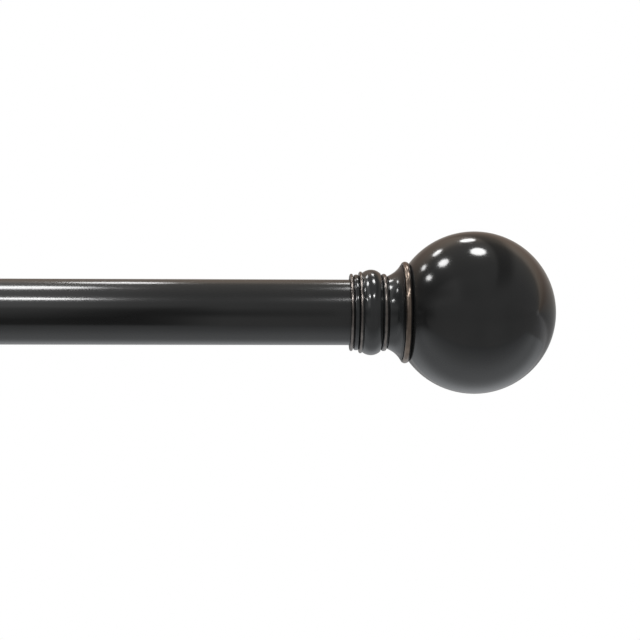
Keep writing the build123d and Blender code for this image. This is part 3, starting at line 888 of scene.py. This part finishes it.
class CURTAINROD_OT_balls(bpy.types.Operator):
    """Balls with a blind hole, and the threaded studs in them"""

    bl_idname = "curtain_rod.balls"
    bl_label = "Balls and studs"

    def execute(self, context):
        finial = settings().finial
        rod = settings().rod
        centre = ball_centre(finial)
        radius = finial.ball_radius
        hole = finial.stud_radius + rod.press_gap
        stud_end = centre - radius + finial.stud_grip
        first = atan2(hole, -sqrt(radius**2 - hole**2))
        round_side = round_run((centre, 0), radius, first, 0, 96)[:-1]
        ball = [(stud_end, 0), (stud_end, hole), *round_side, (centre + radius, 0)]
        depth = STUD_THREAD * finial.stud_pitch
        core = finial.stud_radius - depth
        run = stud_end - finial.stud_start
        bevel = finial.stud_bevel
        stud = [(0, 0), (0, core - bevel), (bevel, core), (run - bevel, core), (run, core - bevel), (run, 0)]
        for side, out in OUTWARD.items():
            turn = ALONG_X[out]
            ball_place, stud_place, thread_place = (
                (out * (rod.mouth + along), -rod.projection, 0)
                for along in (0, finial.stud_start, finial.stud_start + bevel)
            )
            body = f"{side}_ball"
            mesh = turned("ball", ball, turn, ball_place, "gloss_ball_paint", FINIAL_SIDES)
            finish_piece(f"{side}_gloss_ball", [mesh], body, body, 50)
            shaft = turned("stud", stud, turn, stud_place, "bright_zinc", sides=48)
            sizes = (finial.stud_radius, depth, finial.stud_pitch, run - 2 * bevel)
            ridge = thread("stud_thread", *sizes, turn, thread_place, "bright_zinc")
            stud_meshes = [shaft, ridge]
            finish_piece(f"{side}_threaded_stud", stud_meshes, body, f"{side}_finial_stud")
            paint_nodes([f"{side}_thread_insert"], "bright_zinc")
        return {"FINISHED"}


class CURTAINROD_OT_brackets(bpy.types.Operator):
    """Finish of the wall plates, sleeves, arms and cradles, which keep their CAD shapes"""

    bl_idname = "curtain_rod.brackets"
    bl_label = "Brackets"

    def execute(self, context):
        kinds = ("wall_plate", "arm_sleeve", "arm_bar", "cradle")
        paint_nodes([f"{side}_{kind}" for side in OUTWARD for kind in kinds], "satin_bracket_paint")
        return {"FINISHED"}


# Rounding of a bolt at the edge of its head, under its head and at its tip
BOLT_EDGE = 0.15 * MM
BOLT_NECK = 0.2 * MM
BOLT_TIP = 0.4 * MM

# The cross in a bolt's head: its reach as a share of the head, half the width of its slots and its reach at
# the bottom as shares of that, and how far the cutter stands out as a share of its depth
CROSS_REACH = 0.55
CROSS_WIDTH = 0.17
CROSS_TAPER = 0.45
CROSS_OUT = 0.1


def cross_cutter(radius, depth, turn, place):
    """A tapering cross, to cut a screw's drive with."""
    wide = CROSS_WIDTH * radius
    shape = bmesh.new()
    for long_x in (True, False):
        loops = []
        for level, share in ((-CROSS_OUT * depth, 1.0), (depth, CROSS_TAPER)):
            a, b = (share * radius, wide) if long_x else (wide, share * radius)
            loops.append([shape.verts.new((x, y, level)) for x, y in ((a, b), (-a, b), (-a, -b), (a, -b))])
        low, high = loops
        shape.faces.new(low)
        shape.faces.new(high[::-1])
        for i in range(4):
            shape.faces.new((low[i], high[i], high[(i + 1) % 4], low[(i + 1) % 4]))
    return new_object("cross", settled(shape, bpy.data.meshes.new("cross")), place, turn)


def cut_mesh(mesh, cutter):
    """The mesh with the cutter's shape taken out of it."""
    piece = new_object("cut", mesh)
    modifier = piece.modifiers.new("Cut", "BOOLEAN")
    modifier.object = cutter
    modifier.solver = "EXACT"
    modifier.use_self = True
    made = worked_out(piece)
    bpy.data.objects.remove(cutter)
    return made


class CURTAINROD_OT_bolts(bpy.types.Operator):
    """Countersunk machine screws with a cross drive"""

    bl_idname = "curtain_rod.bolts"
    bl_label = "Bolts"

    def execute(self, context):
        clamp = settings().clamp
        cone = (clamp.bolt_head - clamp.bolt_radius) / tan(clamp.bolt_slope)
        for side, out in OUTWARD.items():
            bolts = {
                "sleeve_bolt": (clamp.sleeve_bolt, clamp.sleeve_bolt_length, TO_ROOM, "wall_side"),
                "cradle_bolt": (clamp.cradle_bolt, clamp.cradle_bolt_length, TO_WALL, f"{side}_arm"),
            }
            for name, (face, run, turn, body) in bolts.items():
                corners = [
                    (0, 0, 0),
                    (0, clamp.bolt_head, BOLT_EDGE),
                    (cone, clamp.bolt_radius, BOLT_NECK),
                    (run, clamp.bolt_radius, BOLT_TIP),
                    (run, 0, 0),
                ]
                place = (out * clamp.bracket, -face, 0)
                mesh = turned(name, rounded(corners, 3), turn, place, "bright_zinc", sides=64)
                cutter = cross_cutter(CROSS_REACH * clamp.bolt_head, clamp.cross_depth, turn, place)
                bolt = [cut_mesh(mesh, cutter)]
                finish_piece(f"{side}_{name}_cross", bolt, body, f"{side}_{name}", 25)
        return {"FINISHED"}


# A thumb screw's shank: rounding of its point, its core and its neck, and the bare ends of its thread
POINT_EDGE = 0.3 * MM
CORE_EDGE = 0.2 * MM
NECK_EDGE = 0.3 * MM
THREAD_END = 0.4 * MM

# Its knob: the share of the radius that its hollow takes, the rounding of the hollow at its rim and inside,
# the step between the points of its profile and the sides to a flute
DISH_SHARE = 0.62
DISH_RIM = 0.5 * MM
DISH_ROUND = 1.0 * MM
KNOB_STEP = 0.25 * MM
SIDES_PER_FLUTE = 16

# Its pad: rounding at the tip, at the other end and at the mouth of the hole
PAD_TIP = 0.25 * MM
PAD_END = 0.2 * MM
PAD_MOUTH = 0.1 * MM


def screw_shank(clamp, knob, place):
    """Meshes of a thumb screw's shank, its neck under the knob and its thread."""
    depth = CLAMP_THREAD * clamp.pitch
    core = clamp.shank_radius - depth
    top = clamp.pad_length + clamp.point_gap
    point = top - clamp.pad_socket
    neck = clamp.shank_radius + clamp.neck_rise
    neck_start = knob - clamp.neck_length
    end = knob + clamp.knob_round
    corners = [
        (point, 0, 0),
        (point, clamp.point_radius, POINT_EDGE),
        (top, clamp.point_radius, 0),
        (top, core, CORE_EDGE),
        (neck_start, core, CORE_EDGE),
        (neck_start, neck, NECK_EDGE),
        (end, neck, 0),
        (end, 0, 0),
    ]
    shank = turned("shank", rounded(corners), DOWN, place, "worn_knob_paint", sides=48)
    start = (place[0], place[1], place[2] - top - THREAD_END)
    sizes = (clamp.shank_radius, depth, clamp.pitch, neck_start - top - 2 * THREAD_END)
    return [shank, thread("clamp_thread", *sizes, DOWN, start, "worn_knob_paint", steps=32)]


def fluted_knob(clamp, place):
    """Mesh of a knob with its flutes and the hollow in its end."""
    radius = clamp.knob_radius
    edge = clamp.knob_round
    dish = DISH_SHARE * radius
    bottom = clamp.knob_height - clamp.knob_dish
    corners = [
        (0, 0, 0),
        (0, radius, edge),
        (clamp.knob_height, radius, edge),
        (clamp.knob_height, dish, DISH_RIM),
        (bottom, 0.5 * dish, DISH_ROUND),
        (bottom, 0, 0),
    ]
    profile = [(0, 0), *(tuple(point) for point in evenly(rounded(corners, 8), KNOB_STEP)[1:]), (bottom, 0)]
    middle = 0.5 * radius
    line = line_mesh("knob", [(r - middle, -u) for u, r in profile])
    sizes = {
        "Sides": SIDES_PER_FLUTE * clamp.flutes,
        "Path Radius": middle,
        "Radius": radius,
        "Flutes": clamp.flutes,
        "Flute Radius": clamp.flute_radius,
        "Flute Depth": clamp.flute_depth,
    }
    return grown("Fluted knob", line, "worn_knob_paint", DOWN, place, sizes)


def nylon_pad(clamp, place):
    """Mesh of the pad that turns on a thumb screw's point."""
    socket = clamp.point_radius + clamp.point_gap
    bottom = clamp.pad_length - clamp.pad_socket
    corners = [
        (0, 0, 0),
        (0, clamp.pad_radius, PAD_TIP),
        (clamp.pad_length, clamp.pad_radius, PAD_END),
        (clamp.pad_length, socket, PAD_MOUTH),
        (bottom, socket, 0),
        (bottom, 0, 0),
    ]
    return turned("pad", rounded(corners, 3), DOWN, place, "moulded_nylon", sides=48)


class CURTAINROD_OT_thumb_screws(bpy.types.Operator):
    """Thumb screws with fluted knobs and cut threads, and the nylon pads on their points"""

    bl_idname = "curtain_rod.thumb_screws"
    bl_label = "Thumb screws"

    def execute(self, context):
        clamp = settings().clamp
        kinds = {
            "rod": (settings().rod.projection, clamp.rod_pad_top, clamp.rod_knob),
            "lock": (clamp.lock, clamp.lock_pad_top, clamp.lock_knob),
        }
        for side, out in OUTWARD.items():
            for kind, (y, top, knob) in kinds.items():
                name = f"{side}_{kind}"
                x = out * clamp.bracket
                screw = [fluted_knob(clamp, (x, -y, top - knob)), *screw_shank(clamp, knob, (x, -y, top))]
                body = f"{name}_screw"
                finish_piece(f"{name}_thumb_screw", screw, body, body, 45)
                pad = [nylon_pad(clamp, (x, -y, top))]
                finish_piece(f"{name}_nylon_pad", pad, f"{name}_pad", f"{name}_pad")
        return {"FINISHED"}


# Rows of lamps above the rod, in metres: place across it (y), height, places along it, width and, as a share,
# brightness
LAMP_ROWS = {
    "far": (0.138, 0.40, (0.460, 0.249, 0.048), 0.083, 0.6),
    "near": (-0.082, 0.472, (0.494, 0.168, -0.153), 0.118, 1.0),
    "front": (-0.50, 0.40, (0.503, 0.154, -0.196), 0.100, 1.9),
}

# The room's shell: its radius, the angle that it reaches to both sides and its faces round and across, and
# its light by the angle up from straight in front of the rod and over to its back, in degrees
ROOM_RADIUS = 2.6
ROOM_SIDE = 88
ROOM_FACES = (90, 40)
ROOM_LIGHT = [
    (-50, 0.36), (-40, 0.34), (-20, 0.34), (-9, 0.32), (2, 0.34), (15, 0.38), (30, 0.37), (60, 0.355),
    (100, (0.385, 0.375, 0.36)), (114, (0.40, 0.37, 0.335)), (125, (0.80, 0.68, 0.57)),
    (137, (0.62, 0.49, 0.39)), (148, (0.42, 0.32, 0.26)), (164, (0.42, 0.37, 0.33)),
    (180, (0.34, 0.34, 0.33)), (187, 0.31), (194, 0.31), (198, 0.38), (204, (0.66, 0.66, 0.67)),
    (220, (0.58, 0.58, 0.59)), (235, (0.42, 0.42, 0.43)), (310, 0.34),
]

# Shares of that light, level with the object and high above it, by the sine of the angle towards the ball's
# side, and the sines of the heights between which the one gives way to the other
ROOM_SIDES = [
    (-1, 0), (-0.97, 0.4), (-0.91, 0.85), (-0.85, 1.03), (-0.68, 1.2), (-0.3, 1.2), (0.04, 1.13),
    (0.3, 1.24), (0.52, 1.2), (0.68, 1.06), (1, 1.12),
]
CEILING_SIDES = [(-0.96, 0.1), (-0.46, 0.9), (0, 1), (0.9, 1.15)]
CEILING_START = (0.1, 0.45)

# A soft glow on the rod's side of the room: the share added by the sine of the angle towards the ball's side,
# and how much of it shows by the angle up from the front, in degrees
GLOW_SIDES = [
    (-0.95, 0), (-0.88, 0.3), (-0.8, 0.8), (-0.65, 0.9), (-0.5, 0.7), (-0.35, 0.15), (-0.25, 0.04),
    (0, 0.04), (0.1, 0.1), (0.3, 0),
]
GLOW_HEIGHTS = [(12, 0), (18, 0.3), (24, 0.7), (32, 0.8), (40, 0.9), (46, 1), (52, 0.75), (58, 0)]

# A dark strip over the object: the way square to it, the share of light lost by the sine of the angle from
# it, and the sines of the heights between which it comes in
DARK_STRIP = (-0.859, -0.228, 0.456)
STRIP_SHADE = [(-0.28, 0), (-0.14, 0.6), (0.06, 0.7), (0.135, 0)]
STRIP_START = (0.4, 0.78)

# Dark card before the rod, in metres: its place, its edges, where it thins out to the right and to the left,
# and by place along the rod the heights over its lower edge where it starts to thin out and where it ends;
# the share of it that a softer band puts back by place along the rod, and by the height over its lower edge
CARD_PLACE = -0.132
CARD_SPAN = (0.245, 0.405)
CARD_HEIGHTS = (-0.0398, 0.0165)
CARD_RIGHT = (0.322, 0.3615)
CARD_LEFT = (0.258, CARD_SPAN[0])
CARD_THINS = [(0.267, 0.0188), (0.2962, 0.024), (0.3128, 0.0266), (0.3294, 0.0398), (0.346, 0.044)]
CARD_ENDS = [(0.267, 0.0398), (0.2962, 0.0449), (0.3128, 0.0541), (0.3294, 0.0544)]
CARD_BAND = [(0.2815, 0), (0.328, 0.85), (0.346, 0.85), (0.3626, 0.65), (0.387, 0.38), (0.4, 0.3), (0.405, 0)]
BAND_PROFILE = [(0.0255, 0), (0.0312, 0.6), (0.0364, 1), (0.0419, 0.7), (0.0501, 0)]

# A pale panel over the object, which the balls don't mirror: its distance from the rod's axis, its faces
# round that, its light by place along the rod, and the share of it by the angle up from the front, in degrees
PANEL_RADIUS = 0.4
PANEL_FACES = 48
PANEL_SIDES = [
    (0.03, 0), (0.1, 0.66), (0.1656, 0.64), (0.2052, 0.64), (0.2208, 0.57), (0.2375, 0.41),
    (0.2565, 0.22), (0.286, 0.04), (0.31, 0),
]
PANEL_HEIGHTS = [(9, 0), (15, 0.55), (19, 0.95), (60, 0.95), (75, 0.9), (95, 0.8), (120, 0.4), (140, 0)]

# Light that the floor sends into mirroring surfaces, by place across the rod (y) in metres, and the share of
# it by place along the rod; the floor reaches as far as these do
FLOOR_SHEEN = [
    (-0.46, 0.34), (-0.40, 0.45), (-0.32, 0.57), (-0.24, 0.69), (-0.18, 0.81), (-0.10, 0.90),
    (-0.04, 0.85), (0.04, 0.76), (0.14, 0.82), (0.25, 0.93), (0.39, 0.88), (0.60, 0.68), (0.72, 0.62),
]
FLOOR_FADE = [(-1.5, 0), (-1.2, 0.12), (-0.85, 0.4), (-0.54, 0.74), (-0.3, 0.96), (-0.1, 1), (1.5, 1)]
SHEEN_TINT = (0.97, 1, 1.03)

# The floor's grey, and the range of places from its middle outwards over which its share of white grows, with
# its least and its most
FLOOR_GREY = (0.8, 0.8, 0.8, 1)
FLOOR_WHITE = (0.08, 0.8, 0.6, 1.0)

# How bright the white round everything is as a light and as it is seen
WORLD_LIGHT = (0.6, 1.0)

# The camera's sensor in millimetres, and the nearest that it sees in metres
SENSOR_WIDTH = 36
NEAREST = 0.01


def light_ramp(tree, value, stops):
    """The light that a value picks from a row of stops, which are colours or plain levels."""
    low, high = stops[0][0], stops[-1][0]
    ramp = tree.nodes.new("ShaderNodeValToRGB")
    feed(tree, ramp.inputs["Fac"], math(tree, "DIVIDE", math(tree, "SUBTRACT", value, low), high - low))
    made = ramp.color_ramp.elements
    for number, (place, light) in enumerate(stops):
        position = (place - low) / (high - low)
        stop = made.new(position) if number not in (0, len(stops) - 1) else made[0 if number == 0 else -1]
        stop.position = position
        stop.color = (*light, 1) if isinstance(light, tuple) else (light, light, light, 1)
    return ramp.outputs["Color"]


def angle_ramp(tree, value, stops):
    """The light that an angle picks from stops in degrees."""
    return light_ramp(tree, value, [(radians(degrees), light) for degrees, light in stops])


def angle_up(tree, axes):
    """The angle up from straight in front, round the rod's axis."""
    return math(tree, "ARCTAN2", axes["Z"], math(tree, "MULTIPLY", axes["Y"], -1.0))


def stage_material(name, surface, *sizes):
    """A material of the stage, from a function that makes its surface in a tree by place."""
    material = bpy.data.materials.new(name)
    material.use_nodes = True
    tree = material.node_tree
    tree.nodes.clear()
    place = node(tree, "ShaderNodeTexCoord", out="Object")
    shader = surface(tree, place, *sizes)
    feed(tree, tree.nodes.new("ShaderNodeOutputMaterial").inputs["Surface"], shader)
    return material


def emission(tree, strength, light=(1, 1, 1, 1)):
    return node(tree, "ShaderNodeEmission", [("Color", light), ("Strength", strength)])


def mixed_shaders(tree, share, first, second):
    return node(tree, "ShaderNodeMixShader", [(0, share), (1, first), (2, second)])


def room_surface(tree, place):
    """Glow of the room in front of the object and over it, by direction."""
    work = partial(math, tree)
    axes = axes_of(tree, place)
    low = radians(ROOM_LIGHT[0][0])
    up = work("WRAP", angle_up(tree, axes), low + 2 * pi, low)
    away = node(tree, "ShaderNodeVectorMath", [(0, place)], "Value", operation="LENGTH")
    across = work("DIVIDE", axes["X"], away)
    height = work("DIVIDE", axes["Z"], away)
    level, ceiling = (light_ramp(tree, across, stops) for stops in (ROOM_SIDES, CEILING_SIDES))
    side = mixed(tree, ranged(tree, height, *CEILING_START, soft=True), level, ceiling)
    links = [(0, place), (1, DARK_STRIP)]
    off_strip = node(tree, "ShaderNodeVectorMath", links, "Value", operation="DOT_PRODUCT")
    shade = light_ramp(tree, work("DIVIDE", off_strip, away), STRIP_SHADE)
    overhead = ranged(tree, height, *STRIP_START, soft=True)
    strip = work("SUBTRACT", 1.0, work("MULTIPLY", overhead, shade))
    glow = work("MULTIPLY", light_ramp(tree, across, GLOW_SIDES), angle_ramp(tree, up, GLOW_HEIGHTS))
    strength = work("MULTIPLY", work("MULTIPLY", side, strip), work("ADD", 1.0, glow))
    return emission(tree, strength, angle_ramp(tree, up, ROOM_LIGHT))


def card_surface(tree, place):
    """Black that thins out towards the card's edges."""
    work = partial(math, tree)
    along, _, up = axes_of(tree, place)
    height = work("SUBTRACT", up, CARD_HEIGHTS[0])
    over = ranged(tree, height, light_ramp(tree, along, CARD_THINS), light_ramp(tree, along, CARD_ENDS))
    right = work("MAXIMUM", over, ranged(tree, along, *CARD_RIGHT, soft=True))
    sides = work("MAXIMUM", right, ranged(tree, along, *CARD_LEFT))
    band = work("MULTIPLY", light_ramp(tree, along, CARD_BAND), light_ramp(tree, height, BAND_PROFILE))
    clear_share = work("MULTIPLY", sides, work("SUBTRACT", 1.0, band))
    black = node(tree, "ShaderNodeBsdfDiffuse", [("Color", (0, 0, 0, 1))])
    return mixed_shaders(tree, clear_share, black, node(tree, "ShaderNodeBsdfTransparent"))


def panel_surface(tree, place):
    """Clear, with a pale glow over it that ends softly on all sides."""
    axes = axes_of(tree, place)
    rise = angle_ramp(tree, angle_up(tree, axes), PANEL_HEIGHTS)
    glow = emission(tree, math(tree, "MULTIPLY", light_ramp(tree, axes["X"], PANEL_SIDES), rise))
    return node(tree, "ShaderNodeAddShader", [(0, glow), (1, node(tree, "ShaderNodeBsdfTransparent"))])


def floor_surface(tree, place, half_x, half_y, middle_y):
    """Pale matt floor that fades into the white of the background at its edges."""
    work = partial(math, tree)
    axes = axes_of(tree, place)
    powers = [
        work("POWER", work("DIVIDE", work("ABSOLUTE", axes[name]), half), 4.0)
        for name, half in (("X", half_x), ("Y", half_y))
    ]
    fade = ranged(tree, work("ADD", *powers), *FLOOR_WHITE, soft=True)
    matt = node(tree, "ShaderNodeBsdfDiffuse", [("Color", FLOOR_GREY)])
    seen = mixed_shaders(tree, fade, matt, emission(tree, 1.0))
    sheen = [(y, tuple(tint * light for tint in SHEEN_TINT)) for y, light in FLOOR_SHEEN]
    light = light_ramp(tree, work("ADD", axes["Y"], middle_y), sheen)
    mirrored = emission(tree, light_ramp(tree, axes["X"], FLOOR_FADE), light)
    return mixed_shaders(tree, node(tree, "ShaderNodeLightPath", out="Is Glossy Ray"), seen, mirrored)


def sheet(name, rows, material, place):
    """An object of the stage from rows of corners, which its faces join."""
    mesh = bpy.data.meshes.new(name)
    wide = len(rows[0])
    faces = [
        (i * wide + k, i * wide + k + 1, (i + 1) * wide + k + 1, (i + 1) * wide + k)
        for i in range(len(rows) - 1)
        for k in range(wide - 1)
    ]
    mesh.from_pydata([corner for row in rows for corner in row], [], faces)
    mesh.materials.append(material)
    return new_object(name, mesh, place)


def turns_up(low, high, rows):
    """Even steps from one angle in degrees to another."""
    return [radians(low + (high - low) * i / rows) for i in range(rows + 1)]


def room_shell():
    """A sphere round the object and its floor, which the camera doesn't see."""
    rod = settings().rod
    overs = turns_up(-ROOM_SIDE, ROOM_SIDE, ROOM_FACES[1])
    rows = [
        [
            (ROOM_RADIUS * sin(a), -ROOM_RADIUS * cos(a) * cos(up), ROOM_RADIUS * cos(a) * sin(up))
            for a in overs
        ]
        for up in turns_up(ROOM_LIGHT[0][0], ROOM_LIGHT[-1][0], ROOM_FACES[0])
    ]
    place = (rod.mouth, -rod.projection, 0)
    shell = sheet("room_shell", rows, stage_material("room_glow", room_surface), place)
    shell.visible_camera = False
    shell.visible_shadow = False
    return shell


def only_mirrored(piece):
    """Lets only glossy surfaces see a piece of the stage."""
    piece.visible_camera = False
    piece.visible_diffuse = False
    piece.visible_transmission = False
    piece.visible_shadow = False
    return piece


def dark_card():
    """A card that only glossy surfaces mirror."""
    rows = [[(x, 0, z) for x in CARD_SPAN] for z in CARD_HEIGHTS]
    card = sheet("dark_card", rows, stage_material("dark_card", card_surface), (0, CARD_PLACE, 0))
    return only_mirrored(card)


def pale_panel(kept_dark):
    """A bent panel high in front of the object, which the pieces in a collection don't mirror."""
    ends = (PANEL_SIDES[0][0], PANEL_SIDES[-1][0])
    ups = turns_up(PANEL_HEIGHTS[0][0], PANEL_HEIGHTS[-1][0], PANEL_FACES)
    rows = [[(x, -PANEL_RADIUS * cos(up), PANEL_RADIUS * sin(up)) for x in ends] for up in ups]
    place = (0, -settings().rod.projection, 0)
    panel = only_mirrored(sheet("pale_panel", rows, stage_material("pale_panel", panel_surface), place))
    panel.light_linking.receiver_collection = kept_dark
    return panel


def pale_floor():
    """The floor, in the white of the background."""
    front, back = FLOOR_SHEEN[0][0], FLOOR_SHEEN[-1][0]
    half_x, half_y, middle_y = FLOOR_FADE[-1][0], (back - front) / 2, (back + front) / 2
    rows = [[(-half_x, y, 0), (half_x, y, 0)] for y in (-half_y, half_y)]
    material = stage_material("pale_floor", floor_surface, half_x, half_y, middle_y)
    return sheet("floor", rows, material, (0, middle_y, settings().stage.floor_height))


def white_world():
    """White for the camera and for what mirrors the background, softer as a light."""
    world = bpy.data.worlds.new("white_studio")
    world.use_nodes = True
    tree = world.node_tree
    background = tree.nodes["Background"].inputs
    rays = node(tree, "ShaderNodeLightPath", out=None)
    mirrored = math(tree, "MAXIMUM", rays["Is Glossy Ray"], rays["Is Transmission Ray"])
    seen = math(tree, "MAXIMUM", rays["Is Camera Ray"], mirrored)
    feed(tree, background["Strength"], ranged(tree, seen, 0, 1, *WORLD_LIGHT))
    background["Color"].default_value = (1, 1, 1, 1)
    bpy.context.scene.world = world


def set_camera(stage):
    lens = bpy.data.cameras.new("camera")
    lens.lens = stage.lens
    lens.sensor_width = SENSOR_WIDTH
    lens.clip_start = NEAREST
    place = (stage.camera_x, -stage.camera_y, stage.camera_z)
    turn = (pi / 2, -stage.camera_roll, -stage.camera_turn)
    bpy.context.scene.camera = new_object("camera", lens, place, turn)


def balls_left_out():
    """A collection that keeps the light of what uses it off the balls."""
    kept_dark = bpy.data.collections.new("out_of_the_front_row")
    for side in OUTWARD:
        kept_dark.objects.link(bpy.data.objects[f"{side}_gloss_ball"])
    for member in kept_dark.collection_objects:
        member.light_linking.link_state = "EXCLUDE"
    return kept_dark


def hang_lamps(stage, kept_dark):
    """The rows of lamps; the front row lights all but the balls."""
    for row, (y, height, places, width, brightness) in LAMP_ROWS.items():
        for number, x in enumerate(places, 1):
            light = bpy.data.lights.new(f"{row}_lamp_{number}", "AREA")
            light.shape = "DISK"
            light.size = width
            light.energy = brightness * width**2 * stage.lamp_power
            lamp = new_object(light.name, light, (x, y, height))
            lamp.visible_camera = False
            if row == "front":
                lamp.light_linking.receiver_collection = kept_dark


class CURTAINROD_OT_stage(bpy.types.Operator):
    """Camera, lamps, pale floor and white surroundings"""

    bl_idname = "curtain_rod.stage"
    bl_label = "Stage"

    def execute(self, context):
        stage = settings().stage
        context.scene.view_settings.view_transform = "Standard"
        set_camera(stage)
        kept_dark = balls_left_out()
        hang_lamps(stage, kept_dark)
        pale_floor()
        room_shell()
        dark_card()
        pale_panel(kept_dark)
        white_world()
        return {"FINISHED"}


class CURTAINROD_PT_panel(bpy.types.Panel):
    """Lists the pieces in the sidebar"""

    bl_label = "Curtain rod"
    bl_idname = "CURTAINROD_PT_panel"
    bl_space_type = "VIEW_3D"
    bl_region_type = "UI"
    bl_category = "Curtain rod"

    def draw(self, context):
        for operator in OPERATORS:
            self.layout.operator(operator.bl_idname)


OPERATORS = (
    CURTAINROD_OT_tubes,
    CURTAINROD_OT_nylon_parts,
    CURTAINROD_OT_collars,
    CURTAINROD_OT_balls,
    CURTAINROD_OT_brackets,
    CURTAINROD_OT_bolts,
    CURTAINROD_OT_thumb_screws,
    CURTAINROD_OT_stage,
)
GROUPS = (RodSizes, FinialSizes, ClampSizes, Finishes, StageSettings, CurtainRodSettings)


def register():
    for group in (*GROUPS, *OPERATORS, CURTAINROD_PT_panel):
        bpy.utils.register_class(group)
    bpy.types.Scene.curtain_rod = PointerProperty(type=CurtainRodSettings)


def unregister():
    del bpy.types.Scene.curtain_rod
    for group in reversed((*GROUPS, *OPERATORS, CURTAINROD_PT_panel)):
        bpy.utils.unregister_class(group)


def main():
    register()
    bpy.ops.curtain_rod.tubes()
    bpy.ops.curtain_rod.nylon_parts()
    bpy.ops.curtain_rod.collars()
    bpy.ops.curtain_rod.balls()
    bpy.ops.curtain_rod.brackets()
    bpy.ops.curtain_rod.bolts()
    bpy.ops.curtain_rod.thumb_screws()
    bpy.ops.curtain_rod.stage()


if __name__ == "__main__":
    main()
